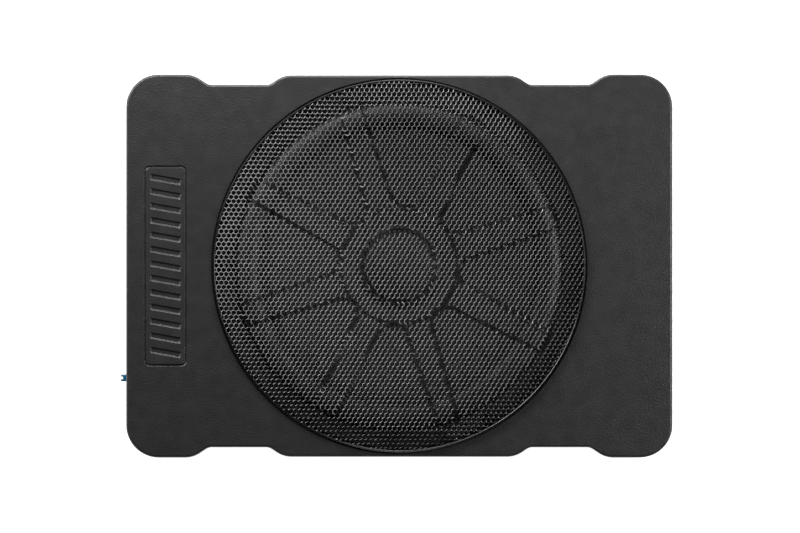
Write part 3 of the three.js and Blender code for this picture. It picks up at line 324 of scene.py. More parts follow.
def notch_edges(solid, inset):
    """Rounds the upright edges of the notches: wide at the tabs and the middle, narrow in the floor."""
    floor_y = housing_high.y - inset - NOTCH_DEPTH

    def in_long_side(edge):
        middle = (edge.verts[0].co + edge.verts[1].co) / 2
        return abs(middle.x) < housing_high.x - CORNER_RADIUS - 2 * mm and upright(edge)
    round_edges(solid, HOLLOW_ROUND, lambda e: in_long_side(e) and abs(e.verts[0].co.y) < floor_y + 0.1 * mm)
    round_edges(solid, TAB_ROUND, lambda e: in_long_side(e) and abs(e.verts[0].co.y) > floor_y + 5 * mm)
    return solid


shell = notch_edges(tray(0, housing_low.z, top_z), 0)
round_edges(shell, EDGE_RADIUS, lambda e: min(v.co.z for v in e.verts) > top_z - FLUSH, segments=5)

# What stands inside the shell: the pocket's wall, the bay's walls and the bosses for the screws.
LEDGE_THICK = 4 * mm
BAY_RIM = 3 * mm
BAY_CORNER = 5 * mm
BOSS_RADIUS = 5 * mm
BRACKET_BOSS = 6 * mm
BRACKET_HOLE_DEPTH = 9 * mm
BRACKET_HOLE_RADIUS = 2.1 * mm
BRACKET_HOLE_Z = 20 * mm
SCREW_HOLE = 2.25 * mm
HOLE_PAST_TIP = 2 * mm
CLEAR = 0.3 * mm
BASKET_CLEAR = 0.7 * mm
LEDGE_WIDTH = 11.7 * mm
CENTRE = Vector((0, 0, 0))
ledge_z = basket_gasket_low.z - CLEAR
pocket_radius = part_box("basket")[1].x + BASKET_CLEAR
opening_radius = pocket_radius - LEDGE_WIDTH
seat_radius = gasket_high.x + CLEAR
seat_z = gasket_low.z - CLEAR
panel_face = panel_low.x
bay_half = panel_high.y - BAY_RIM + CLEAR
bay_low_z, bay_high_z = panel_low.z + BAY_RIM - CLEAR, panel_high.z - BAY_RIM + CLEAR


def bay_block(grow, x0, x1):
    solid = block((x0, -bay_half - grow, bay_low_z - grow), (x1, bay_half + grow, bay_high_z + grow))
    return round_edges(solid, BAY_CORNER + grow, lengthways, segments=8)


cavity = tray(WALL, housing_low.z - OVER, top_z - WALL)
screw_places = [middle_of(f"base_screw_{i}") for i in range(1, 7)]
basket_screw_places = [middle_of(f"basket_screw_{i}") for i in range(1, 7)]
base_screw_low, base_screw_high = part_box("base_screw_1")
bosses = []
for place in screw_places:
    boss_top = ledge_z - OVER if abs(place.x) < OVER else top_z - WALL + OVER
    bosses.append(pillar(BOSS_RADIUS, place, housing_low.z - 2 * OVER, boss_top))
pads = [m["pos_m"] for name, m in mounts.items() if name.startswith("bracket_pad")]
for x, y, _ in pads:
    back = y - math.copysign(BRACKET_HOLE_DEPTH + HOLE_PAST_TIP, y)
    bosses.append(rod(BRACKET_BOSS, (x, back, BRACKET_HOLE_Z), (x, y, BRACKET_HOLE_Z)))
bosses.append(bay_block(BAY_RIM, housing_low.x + OVER, panel_face - CLEAR))
bosses.append(pillar(pocket_radius + WALL, CENTRE, ledge_z - LEDGE_THICK, top_z - WALL + OVER, 160))
cut(cavity, *bosses)
cut(shell, cavity)

holes = [
    pillar(SCREW_HOLE, place, housing_low.z - OVER, base_screw_high.z + HOLE_PAST_TIP)
    for place in screw_places
]
for x, y, _ in pads:
    back, front = y - math.copysign(BRACKET_HOLE_DEPTH, y), y + math.copysign(OVER, y)
    holes.append(rod(BRACKET_HOLE_RADIUS, (x, back, BRACKET_HOLE_Z), (x, front, BRACKET_HOLE_Z)))
for place in basket_screw_places:
    holes.append(pillar(SCREW_HOLE, place, ledge_z - LEDGE_THICK - OVER, ledge_z + OVER))
cut(shell, bundle(*holes))
cut(shell, pillar(opening_radius, CENTRE, ledge_z - LEDGE_THICK - OVER, ledge_z + OVER, 160))
cut(shell, pillar(pocket_radius, CENTRE, ledge_z, seat_z + OVER, 160))
cut(shell, pillar(seat_radius, CENTRE, seat_z, top_z + OVER, 192))
cut(shell, bay_block(0, housing_low.x - OVER, panel_face))

# The badge's frame and its slanted bars are pressed in.
BADGE_INSET = 29 * mm
BADGE_X = housing_low.x + BADGE_INSET
BADGE_WIDTH = 32 * mm
BADGE_LENGTH = 148 * mm
BADGE_CORNER = 4.5 * mm
BADGE_GROOVE = 2 * mm
BADGE_DEPTH = 1 * mm
BADGE_BARS = 13
BAR_WIDTH = 4.8 * mm
BAR_LENGTH = 23 * mm
BAR_MARGIN = 6 * mm
BAR_SLANT = -math.pi / 18
BAR_ROUND = 0.8 * mm
BAR_DRAFT = 1.15  # how far the walls lean for each unit of depth
GROOVE_DRAFT = 0.9


def drafted(solid, half_x, half_y, z_face, draft):
    """Leans an upright block's walls by draft, so that it keeps its outline at the height z_face."""
    low, high = (f(v.co.z for v in solid.data.vertices) for f in (min, max))
    for z in (low, high):
        grow = (z - z_face) * draft
        pick(solid, "VERT", lambda v: abs(v.co.z - z) < FLUSH)
        bpy.ops.transform.resize(value=(1 + grow / half_x, 1 + grow / half_y, 1))
    leave()
    return solid


def badge_block(grow, z0, draft):
    half_x, half_y = BADGE_WIDTH / 2 + grow, BADGE_LENGTH / 2 + grow
    solid = block((BADGE_X - half_x, -half_y, z0), (BADGE_X + half_x, half_y, top_z + OVER))
    round_edges(solid, BADGE_CORNER + grow, upright, segments=8)
    return drafted(solid, half_x, half_y, top_z, draft)


frame_groove = cut(
    badge_block(0, top_z - BADGE_DEPTH, GROOVE_DRAFT),
    badge_block(-BADGE_GROOVE, top_z - 2 * BADGE_DEPTH, -GROOVE_DRAFT),
)
bar_run = BADGE_LENGTH - 2 * (BADGE_GROOVE + BAR_MARGIN) - BAR_WIDTH
bars = []
for i in range(BADGE_BARS):
    half_x, half_y = BAR_LENGTH / 2, BAR_WIDTH / 2
    bar = block((-half_x, -half_y, -BADGE_DEPTH), (half_x, half_y, OVER))
    round_edges(bar, BAR_ROUND, upright)
    drafted(bar, half_x, half_y, 0, BAR_DRAFT)
    bar.location = (BADGE_X, (i / (BADGE_BARS - 1) - 0.5) * bar_run, top_z)
    bar.rotation_euler = (0, 0, BAR_SLANT)
    bars.append(settle(bar))
cut(shell, bundle(frame_groove, *bars))


def in_badge(edge):
    middle = (edge.verts[0].co + edge.verts[1].co) / 2
    inside = abs(middle.x - BADGE_X) < BADGE_WIDTH / 2 + OVER and abs(middle.y) < BADGE_LENGTH / 2 + OVER
    return inside and min(v.co.z for v in edge.verts) > top_z - FLUSH


round_edges(shell, 0.3 * mm, in_badge, segments=2)
round_edges(
    shell, 0.8 * mm, segments=2,
    wanted=lambda e: max(v.co.x for v in e.verts) < housing_low.x + 0.01 * mm
    and abs(e.verts[0].co.y) < bay_half + OVER and bay_low_z - OVER < e.verts[0].co.z < bay_high_z + OVER,
)


def surface(name, dark, light, rough, metal=0.0, mottle=6 * mm, grain=0.8 * mm, depth=0.04 * mm, spread=0.06):
    """A finish whose colour and gloss wander a little over mottle, with a fine relief of grain size."""
    finish = bpy.data.materials.new(name)
    finish.use_nodes = True
    nodes, links = finish.node_tree.nodes, finish.node_tree.links
    shader = nodes["Principled BSDF"]
    shader.inputs["Metallic"].default_value = metal
    place = nodes.new("ShaderNodeTexCoord")
    mapping = nodes.new("ShaderNodeMapping")
    links.new(place.outputs["Object"], mapping.inputs["Vector"])
    patch = nodes.new("ShaderNodeTexNoise")
    patch.inputs["Scale"].default_value = 1 / mottle
    patch.inputs["Detail"].default_value = 4
    links.new(mapping.outputs["Vector"], patch.inputs["Vector"])
    ramp = nodes.new("ShaderNodeValToRGB")
    ramp.color_ramp.elements[0].position = 0.3
    ramp.color_ramp.elements[0].color = (*dark, 1)
    ramp.color_ramp.elements[1].position = 0.7
    ramp.color_ramp.elements[1].color = (*light, 1)
    links.new(patch.outputs["Fac"], ramp.inputs["Fac"])
    links.new(ramp.outputs["Color"], shader.inputs["Base Color"])
    gloss = nodes.new("ShaderNodeMapRange")
    gloss.inputs["From Min"].default_value = 0.3
    gloss.inputs["From Max"].default_value = 0.7
    gloss.inputs["To Min"].default_value = rough - spread
    gloss.inputs["To Max"].default_value = rough + spread
    links.new(patch.outputs["Fac"], gloss.inputs["Value"])
    links.new(gloss.outputs["Result"], shader.inputs["Roughness"])
    fine = nodes.new("ShaderNodeTexNoise")
    fine.inputs["Scale"].default_value = 1 / grain
    fine.inputs["Detail"].default_value = 3
    links.new(mapping.outputs["Vector"], fine.inputs["Vector"])
    relief = nodes.new("ShaderNodeBump")
    relief.inputs["Strength"].default_value = 1
    relief.inputs["Distance"].default_value = depth
    links.new(fine.outputs["Fac"], relief.inputs["Height"])
    links.new(relief.outputs["Normal"], shader.inputs["Normal"])
    return finish


def smooth(obj, degrees=32):
    """Shades a piece smooth up to its creases, with the wide flats left flat."""
    only(obj)
    bpy.ops.object.shade_smooth_by_angle(angle=math.radians(degrees))
    step = obj.modifiers.new("even", "WEIGHTED_NORMAL")
    step.keep_sharp = True
    bpy.ops.object.modifier_apply(modifier=step.name)
    return obj


def fit(obj, name, finish, slot, body, *nodes):
    """Names a piece, gives it its finish and lets it ride on its body in place of its CAD nodes."""
    settle(smooth(obj))
    obj.name = name
    obj.data.name = name
    obj.data.materials.clear()
    obj.data.materials.append(finish)
    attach(obj, body)
    if nodes:
        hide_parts(*nodes)
    return obj


powder_coat = surface(
    "powder_coat", (0.0185, 0.0185, 0.019), (0.0225, 0.0225, 0.023), 0.38, 0.0, 9 * mm, 1.2 * mm, 0.3 * mm, 0.03
)
fit(shell, "housing_shell", powder_coat, "powder_coat", "enclosure", "housing")

# ---- Grille ------------------------------------------------------------------------------------
# One disc of steel sheet, punched with hexagonal holes. A hub ring and eight spokes are pressed up
# from it, and its shoulder is rounded. The edge is folded down into a plain rim, and the sheet is
# painted in satin black.
grille_low, grille_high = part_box("grille")
grille_radius = grille_high.x
crown_z = grille_high.z
HOLE_PITCH = 3.64 * mm
WEB = 0.84 * mm
WEB_CROWN = 0.28 * mm
SHEET = 0.8 * mm
RIM_WIDTH = 1.3 * mm
RIM_CLEAR = 0.5 * mm
HUB_INNER = 26.8 * mm
HUB_OUTER = 43 * mm
SPOKES = 8
SPOKE_TURN = math.radians(17.5)
SPOKE_ROOT = 20 * mm
SPOKE_TIP = 16 * mm
SPOKE_END = 121 * mm
WINDOW_CORNER = 7 * mm
EMBOSS = 2 * mm
HUB_RISE = 0.8 * mm
RAMP = 1.8 * mm
SHOULDER_START = 120 * mm
SHOULDER_DROP = 2 * mm
SHOULDER_CURVE = 1.25


def step_down(inside):
    """How far a pressed step has gone down, from 0 to 1, a given way inside its edge."""
    share = min(max(inside / RAMP + 0.5, 0), 1)
    return share * share * (3 - 2 * share)


def pressed(x, y):
    """How far below the hub the sheet lies: the spokes stand up from it, and the hub higher still."""
    radius, angle = math.hypot(x, y), math.atan2(y, x) - SPOKE_TURN
    sector = 2 * math.pi / SPOKES
    off = radius * abs(math.sin(angle - round(angle / sector) * sector))
    share = min((radius - HUB_OUTER) / (SPOKE_END - HUB_OUTER), 1)
    aside = off - (SPOKE_ROOT + (SPOKE_TIP - SPOKE_ROOT) * share) / 2
    corner = math.hypot(max(WINDOW_CORNER - aside, 0), max(WINDOW_CORNER - radius + HUB_OUTER, 0))
    outside = max(WINDOW_CORNER - corner, HUB_INNER - radius, radius - SPOKE_END)
    off_hub = max(HUB_INNER - radius, radius - HUB_OUTER)
    over = max(radius - SHOULDER_START, 0) / (grille_radius - SHOULDER_START)
    sunk = HUB_RISE * step_down(off_hub) + (EMBOSS - HUB_RISE) * step_down(outside)
    return sunk + SHOULDER_DROP * over ** SHOULDER_CURVE


row = HOLE_PITCH * math.sqrt(3) / 2
across = 2 * math.ceil(grille_radius / HOLE_PITCH) + 3
rows = math.ceil(grille_radius / row) + 2
bpy.ops.object.select_all(action="DESELECT")
bpy.ops.mesh.primitive_circle_add(
    vertices=6, radius=HOLE_PITCH / math.sqrt(3), fill_type="NGON", rotation=(0, 0, 0)
)
mesh_sheet = settle(bpy.context.object)
pick(mesh_sheet, "FACE", lambda f: True)
bpy.ops.mesh.inset(thickness=WEB / 2)
bpy.ops.transform.translate(value=(0, 0, -WEB_CROWN))
bpy.ops.mesh.delete(type="FACE")
pick(mesh_sheet, "FACE", lambda f: True)
bpy.ops.mesh.duplicate_move(TRANSFORM_OT_translate={"value": (HOLE_PITCH / 2, row, 0)})
leave()
for count, offset in ((across, (HOLE_PITCH, 0, 0)), (rows, (0, 2 * row, 0))):
    only(mesh_sheet)
    step = mesh_sheet.modifiers.new("repeat", "ARRAY")
    step.count = count
    step.use_relative_offset = False
    step.use_constant_offset = True
    step.constant_offset_displace = offset
    bpy.ops.object.modifier_apply(modifier=step.name)
mesh_sheet.location = (-(across // 2) * HOLE_PITCH, -(rows // 2) * 2 * row, 0)
settle(mesh_sheet)
rim_outer = grille_radius - RIM_CLEAR
sheet_edge = rim_outer - RIM_WIDTH / 2
pick(mesh_sheet, "FACE", lambda f: f.calc_center_median().xy.length > sheet_edge)
bpy.ops.mesh.delete(type="FACE")
bpy.ops.mesh.select_mode(type="VERT")
bpy.ops.mesh.select_all(action="SELECT")
bpy.ops.mesh.remove_doubles(threshold=0.02 * mm)
bpy.ops.mesh.normals_make_consistent(inside=False)
leave()
if sum(face.normal.z for face in mesh_sheet.data.polygons) < 0:
    pick(mesh_sheet, "FACE", lambda f: True)
    bpy.ops.mesh.flip_normals()
    leave()
for corner in mesh_sheet.data.vertices:
    reach = corner.co.xy.length
    if reach > sheet_edge:
        corner.co.xy *= sheet_edge / reach
    corner.co.z += crown_z - pressed(corner.co.x, corner.co.y)
step = mesh_sheet.modifiers.new("sheet", "SOLIDIFY")
step.thickness = SHEET
step.offset = -1
bpy.ops.object.modifier_apply(modifier=step.name)
grille_paint = surface(
    "grille_paint", (0.004, 0.004, 0.004), (0.006, 0.006, 0.006), 0.25, 0.0, 12 * mm, 0.5 * mm, 0.02 * mm
)
fit(mesh_sheet, "grille_sheet", grille_paint, "grille_coat", "enclosure", "grille")


def turned(profile, sides=128, sweep=2 * math.pi, start=0.0):
    """A profile of radius and height pairs, closed on itself, spun about the upright axis."""
    bpy.ops.object.select_all(action="DESELECT")
    bpy.ops.mesh.primitive_plane_add(size=OVER)
    solid = bpy.context.object
    pick(solid, "VERT", lambda v: True)
    bpy.ops.mesh.merge(type="CENTER")
    bpy.ops.transform.translate(value=(profile[0][0], 0, profile[0][1]))
    for (r0, z0), (r1, z1) in zip(profile, profile[1:] + profile[:1]):
        bpy.ops.mesh.extrude_region_move(TRANSFORM_OT_translate={"value": (r1 - r0, 0, z1 - z0)})
    bpy.ops.mesh.select_all(action="SELECT")
    bpy.ops.mesh.remove_doubles(threshold=0.001 * mm)
    whole = abs(sweep - 2 * math.pi) < 1e-6
    if not whole:
        bpy.ops.mesh.edge_face_add()
    bpy.ops.mesh.spin(steps=sides, angle=sweep, center=(0, 0, 0), axis=(0, 0, 1))
    bpy.ops.mesh.select_all(action="SELECT")
    bpy.ops.mesh.remove_doubles(threshold=0.002 * mm)
    bpy.ops.mesh.normals_make_consistent(inside=False)
    leave()
    if start:
        solid.rotation_euler = (0, 0, start)
        settle(solid)
    return solid


rim_top = crown_z - pressed(rim_outer - RIM_WIDTH, 0) + 0.1 * mm
rim = turned([
    (rim_outer - RIM_WIDTH, rim_top - SHEET),
    (rim_outer - RIM_WIDTH, rim_top - 0.2 * mm),
    (rim_outer - 0.8 * RIM_WIDTH, rim_top),
    (rim_outer - 0.4 * RIM_WIDTH, rim_top - 0.1 * mm),
    (rim_outer - 0.1 * RIM_WIDTH, rim_top - 0.5 * mm),
    (rim_outer, rim_top - 1 * mm),
    (rim_outer, grille_low.z),
    (rim_outer - SHEET, grille_low.z),
    (rim_outer - SHEET, rim_top - 1.2 * mm),
], sides=192)
fit(rim, "grille_rim", grille_paint, "grille_coat", "enclosure")

# ---- Grille gasket -----------------------------------------------------------------------------
# A flat ring of closed-cell foam between the grille's rim and its seat stops the sheet buzzing.


def dress(finish, *nodes):
    """Gives CAD nodes whose shape is right a finish."""
    for node in nodes:
        mesh = frame["nodes"][node]
        mesh.data.materials.clear()
        mesh.data.materials.append(finish)


foam = surface("foam", (0.010, 0.010, 0.010), (0.016, 0.016, 0.017), 0.9, 0.0, 2 * mm, 0.5 * mm, 0.12 * mm)
dress(foam, "grille_gasket", "basket_gasket", "base_gasket")

# ---- Base plate --------------------------------------------------------------------------------
# A steel sheet closes the housing from below. Two shallow channels are pressed into it against
# drumming, its edge is deburred, and three short posts on it carry the amplifier's board.
BASE_INSET = 1.5 * mm
CHANNEL_DEPTH = 0.7 * mm
CHANNEL_HALF = 9 * mm
CHANNEL_REACH = 125 * mm
POST_RADIUS = 3 * mm
POST_GAP = 1 * mm
POST_PLACES = (-92 * mm, 30 * mm, 92 * mm)
POST_HOLE = 1.2 * mm
base_low, base_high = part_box("base_plate")
base_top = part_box("base_gasket")[0].z - CLEAR
base = notch_edges(tray(BASE_INSET, base_low.z, base_top), BASE_INSET)
round_edges(base, 0.4 * mm, lambda e: not along(e, UPRIGHT), segments=2)
sink_low, sink_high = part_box("heat_sink")
post_x = sink_low.x - POST_GAP - POST_RADIUS
for y in POST_PLACES:
    post = rod(POST_RADIUS, (post_x, y, base_top - OVER), (post_x, y, base_high.z), 24)
    weld(base, post)
    cut(base, rod(POST_HOLE, (post_x, y, base_high.z - 6 * mm), (post_x, y, base_high.z + OVER), 16))
for sy in (-1, 1):
    ys = sorted((sy * 62 * mm - CHANNEL_HALF, sy * 62 * mm + CHANNEL_HALF))
    channel = block(
        (-CHANNEL_REACH, ys[0], base_low.z - OVER), (CHANNEL_REACH, ys[1], base_low.z + CHANNEL_DEPTH)
    )
    round_edges(channel, CHANNEL_HALF * 0.98, upright, segments=8)
    round_edges(
        channel, 0.5 * mm, segments=2, wanted=lambda e: min(v.co.z for v in e.verts) > base_low.z
    )
    cut(base, channel)
cut(base, bundle(*[
    pillar(SCREW_HOLE, place, base_low.z - OVER, base_top + OVER) for place in screw_places
]))
plate_coat = surface(
    "plate_coat", (0.022, 0.022, 0.023), (0.03, 0.03, 0.031), 0.48, 0.2, 14 * mm, 0.6 * mm, 0.03 * mm
)
fit(base, "bottom_plate", plate_coat, "plate_coat", "enclosure", "base_plate")

# ---- Feet --------------------------------------------------------------------------------------
# Four moulded rubber pads, each with a sunk middle so that the rim grips, are bonded to the base.
rubber = surface("rubber", (0.012, 0.012, 0.012), (0.02, 0.02, 0.02), 0.8, 0.0, 5 * mm, 0.4 * mm, 0.05 * mm)
foot_low, foot_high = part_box("foot_1")
FOOT = (foot_high.x - foot_low.x) / 2
FOOT_SINK = 4.2 * mm
pad = turned([
    (0, 0.9 * mm),
    (FOOT_SINK - 0.8 * mm, 0.9 * mm),
    (FOOT_SINK, 0.1 * mm),
    (FOOT_SINK + 0.5 * mm, 0),
    (FOOT - 1.5 * mm, 0),
    (FOOT - 0.6 * mm, 0.25 * mm),
    (FOOT - 0.1 * mm, 0.9 * mm),
    (FOOT, foot_high.z),
    (0, foot_high.z),
], sides=64)
for i in range(1, 5):
    low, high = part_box(f"foot_{i}")
    foot = copy_of(pad)
    foot.location = ((low.x + high.x) / 2, (low.y + high.y) / 2, 0)
    fit(foot, f"rubber_foot_{i}", rubber, "rubber", "enclosure", f"foot_{i}")
bpy.data.objects.remove(pad)

# ---- Screws ------------------------------------------------------------------------------------
# Black oxide steel pan heads with a cross recess. Six longer ones hold the base plate from below,
# and six short ones hold the woofer's basket from above.
HEAD_RADIUS = 3.8 * mm
HEAD_HEIGHT = 2.4 * mm
THREAD_RADIUS = 1.9 * mm
THREAD_DEPTH = 0.3 * mm
THREAD_PITCH = 0.8 * mm
CROSS_WIDTH = 0.9 * mm
CROSS_REACH = 2.1 * mm
CROSS_DEPTH = 1.5 * mm
black_steel = surface(
    "black_steel", (0.015, 0.015, 0.016), (0.03, 0.03, 0.032), 0.35, 0.7, 1.5 * mm, 0.2 * mm, 0.01 * mm
)


def screw(length):
    """A screw whose head stands on z 0 and points up, its thread going down by length."""
    profile = [(0, HEAD_HEIGHT), (HEAD_RADIUS * 0.45, HEAD_HEIGHT * 0.97), (HEAD_RADIUS * 0.75, HEAD_HEIGHT * 0.8),
               (HEAD_RADIUS * 0.95, HEAD_HEIGHT * 0.5), (HEAD_RADIUS, HEAD_HEIGHT * 0.2), (HEAD_RADIUS, 0)]
    turns = int((length - 1.5 * mm) / THREAD_PITCH)
    for i in range(turns):
        profile += [(THREAD_RADIUS, -i * THREAD_PITCH - 0.05 * mm),
                    (THREAD_RADIUS - THREAD_DEPTH, -(i + 0.5) * THREAD_PITCH)]
    profile += [(THREAD_RADIUS, -turns * THREAD_PITCH), (THREAD_RADIUS * 0.6, -length), (0, -length)]
    made = turned(profile, sides=28)
    for wide, deep in ((CROSS_REACH, CROSS_WIDTH / 2), (CROSS_WIDTH / 2, CROSS_REACH)):
        bit = block((-wide, -deep, HEAD_HEIGHT - CROSS_DEPTH), (wide, deep, HEAD_HEIGHT + OVER))
        pick(bit, "VERT", lambda v: v.co.z < HEAD_HEIGHT - OVER)
        bpy.ops.transform.resize(value=(0.7, 0.7, 1), center_override=(0, 0, 0))
        leave()
        cut(made, bit)
    return made


def place_screws(prefix, length, points_down, replaced, count=6):
    original = screw(length)
    for i in range(1, count + 1):
        low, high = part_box(f"{replaced}_{i}")
        seat = low.z + HEAD_HEIGHT if points_down else high.z - HEAD_HEIGHT
        one = copy_of(original)
        one.rotation_euler = (math.pi if points_down else 0, 0, 0.9 * i)
        one.location = ((low.x + high.x) / 2, (low.y + high.y) / 2, seat)
        settle(one)
        fit(one, f"{prefix}_{i}", black_steel, "black_screw", "enclosure", f"{replaced}_{i}")
    bpy.data.objects.remove(original)


place_screws("bottom_screw", base_screw_high.z - base_screw_low.z - HEAD_HEIGHT, True, "base_screw")
short_low, short_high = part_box("basket_screw_1")
place_screws("frame_screw", short_high.z - short_low.z - HEAD_HEIGHT, False, "basket_screw")

# ---- Basket ------------------------------------------------------------------------------------
# The woofer's frame is one alloy casting in satin black: a flat flange with six screw holes, a low
# wall with six openings in it for air, and the ring that the spider and the motor are fixed to.
basket_low, basket_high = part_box("basket")
front_plate_low, front_plate_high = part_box("front_plate")
magnet_low, magnet_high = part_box("magnet")
spider_low, spider_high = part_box("spider")
magnet_radius = magnet_high.x
FLANGE_THICK = 3 * mm
BASKET_WALL = 3 * mm
BASKET_HEEL = 4 * mm
BASKET_RIM = 5.5 * mm
BASKET_ARMS = 6
ARM_ANGLE = math.radians(16)
flange_bottom = basket_high.z - FLANGE_THICK
flange_inner = basket_high.x - 16.5 * mm
basket_radius = opening_radius - 0.7 * mm
bore = front_plate_high.x - 8 * mm
heel = magnet_radius + 2 * mm
wall_foot = ledge_z - LEDGE_THICK - BASKET_RIM
spider_seat = basket_low.z + 8 * mm
open_to = basket_radius - BASKET_WALL - BASKET_RIM
open_from = magnet_radius + 10 * mm
basket = turned([
    (bore, basket_low.z),
    (heel - 0.6 * mm, basket_low.z),
    (heel, basket_low.z + 0.6 * mm),
    (heel, basket_low.z + BASKET_HEEL),
    (basket_radius - 1 * mm, wall_foot),
    (basket_radius, wall_foot + 1.5 * mm),
    (basket_radius, flange_bottom),
    (basket_high.x - 0.3 * mm, flange_bottom),
    (basket_high.x, flange_bottom + 0.3 * mm),
    (basket_high.x, basket_high.z - 0.5 * mm),
    (basket_high.x - 0.5 * mm, basket_high.z),
    (flange_inner + 0.4 * mm, basket_high.z),
    (flange_inner, basket_high.z - 0.4 * mm),
    (flange_inner, basket_high.z - 2 * mm),
    (basket_radius - BASKET_WALL, flange_bottom - 0.6 * mm),
    (basket_radius - BASKET_WALL, wall_foot + 2.7 * mm),
    (magnet_radius + 4.5 * mm, spider_seat),
    (magnet_radius - 2 * mm, spider_seat),
    (magnet_radius - 2 * mm, basket_low.z + 3 * mm),
    (bore, basket_low.z + 3 * mm),
], sides=144)
window_half = math.pi / BASKET_ARMS - ARM_ANGLE / 2
for i in range(BASKET_ARMS):
    middle = i * 2 * math.pi / BASKET_ARMS
    opening = turned([
        (open_from, basket_low.z - OVER),
        (open_to, basket_low.z - OVER),
        (open_to, flange_bottom - 1 * mm),
        (open_from, flange_bottom - 1 * mm),
    ], sides=20, sweep=2 * window_half, start=middle - window_half)
    round_edges(opening, 3 * mm, upright)
    cut(basket, opening)
cut(basket, bundle(*[
    pillar(SCREW_HOLE, place, flange_bottom - OVER, basket_high.z + OVER, 24)
    for place in basket_screw_places
]))
cast_alloy = surface(
    "cast_alloy", (0.02, 0.02, 0.021), (0.032, 0.032, 0.033), 0.45, 0.4, 7 * mm, 0.9 * mm, 0.05 * mm
)
fit(basket, "woofer_frame", cast_alloy, "cast_alloy", "enclosure", "basket")

# ---- Surround ----------------------------------------------------------------------------------
# A half roll of moulded rubber joins the rim of the cone to the basket's flange. It is built in its rest shape and
# does not bend with the cone.
SURROUND_THICK = 1.2 * mm
SURROUND_LIP = 4.4 * mm
ROLL_STEPS = 20
surround_low, surround_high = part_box("surround")
cone_low, cone_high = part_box("cone")
cone_radius = cone_high.x
surround_outer = surround_high.x
roll_outer = surround_outer - SURROUND_LIP
roll_middle = (cone_radius + roll_outer) / 2
roll_radius = (roll_outer - cone_radius) / 2
lip_z = surround_low.z


def roll_line(thinner):
    """The roll's section from the cone outwards, its outside or the same less the rubber's thickness."""
    wide = roll_radius - thinner
    tall = surround_high.z - lip_z - thinner
    foot = lip_z + SURROUND_THICK - thinner
    points = []
    for i in range(ROLL_STEPS + 1):
        angle = math.pi * (1 - i / ROLL_STEPS)
        points.append((roll_middle + wide * math.cos(angle), max(foot, lip_z + tall * math.sin(angle))))
    return points


lip_top = lip_z + SURROUND_THICK
surround = turned(
    [(cone_radius - SURROUND_LIP, lip_z), (cone_radius - SURROUND_LIP, lip_top)]
    + roll_line(0)
    + [(surround_outer - 0.3 * mm, lip_top), (surround_outer, lip_top - 0.3 * mm), (surround_outer, lip_z)]
    + roll_line(SURROUND_THICK)[::-1],
    sides=144,
)
surround_rubber = surface(
    "surround_rubber", (0.004, 0.004, 0.004), (0.007, 0.007, 0.007), 0.5, 0.0, 10 * mm, 0.5 * mm, 0.03 * mm
)


def bend_between(piece, name, finish, node, weight):
    """Names a soft piece, gives it its finish and stands it in for its CAD node. A share is worked out for each of
    its points, but nothing uses it, so the piece does not bend.
    """
    settle(smooth(piece))
    piece.name = name
    piece.data.name = name
    piece.data.materials.clear()
    piece.data.materials.append(finish)
    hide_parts(node)
    low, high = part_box(node)
    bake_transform(piece)
    for corner in piece.data.vertices:
        share = min(max(weight(corner.co), 0), 1)


bend_between(
    surround, "rubber_surround", surround_rubber, "surround",
    lambda p: (roll_outer - p.xy.length) / (roll_outer - cone_radius),
)

# ---- Cone --------------------------------------------------------------------------------------
# A shallow cone of pressed paper pulp, dyed grey-black, with eight short stiffening ribs near its
# rim. A pressed cap of the same paper keeps dust out of the coil.
CONE_THICK = 1.2 * mm
CONE_FOOT = 3 * mm
cap_low, cap_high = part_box("dust_cap")
former_low, former_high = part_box("coil_former")
neck_radius = former_high.x + CLEAR
neck_top = cone_low.z + CONE_THICK
cone_foot = neck_radius + CONE_FOOT
lip_inner = cone_radius - SURROUND_LIP
cone_slope = (cone_high.z - neck_top) / (lip_inner - 1 * mm - cone_foot)
cone = turned([
    (neck_radius, neck_top),
    (cone_foot, neck_top + 0.2 * mm),
    (lip_inner - 1.4 * mm, cone_high.z - 0.15 * mm),
    (lip_inner - 1 * mm, cone_high.z),
    (cone_radius - 0.2 * mm, cone_high.z),
    (cone_radius, cone_high.z - 0.3 * mm),
    (cone_radius, cone_high.z - CONE_THICK),
    (lip_inner - 0.8 * mm, cone_high.z - CONE_THICK),
    (cone_foot + 0.2 * mm, neck_top + 0.2 * mm - CONE_THICK),
    (neck_radius, cone_low.z),
], sides=144)
RIB_LENGTH = 19 * mm
RIB_WIDTH = 4 * mm
RIB_HEIGHT = 1.3 * mm
RIB_SINK = 1.2 * mm
RIB_INSET = 2.5 * mm
rib_middle = lip_inner - RIB_INSET - RIB_LENGTH / 2
rib_z = cone_high.z - (lip_inner - rib_middle) * cone_slope
for i in range(8):
    angle = i * math.pi / 4
    rib = block(
        (-RIB_LENGTH / 2, -RIB_WIDTH / 2, -RIB_SINK + 0.3 * mm), (RIB_LENGTH / 2, RIB_WIDTH / 2, RIB_HEIGHT)
    )
    round_edges(rib, 1.1 * mm, lambda e: min(v.co.z for v in e.verts) > 0 or along(e, UPRIGHT))
    rib.rotation_euler = (0, -math.atan(cone_slope), angle)
    rib.location = (rib_middle * math.cos(angle), rib_middle * math.sin(angle), rib_z)
    weld(cone, settle(rib))
cone_paper = surface(
    "cone_paper", (0.006, 0.006, 0.0065), (0.010, 0.010, 0.0105), 0.6, 0.0, 4 * mm, 0.7 * mm, 0.12 * mm
)
fit(cone, "paper_cone", cone_paper, "cone_paper", "cone_assembly", "cone")

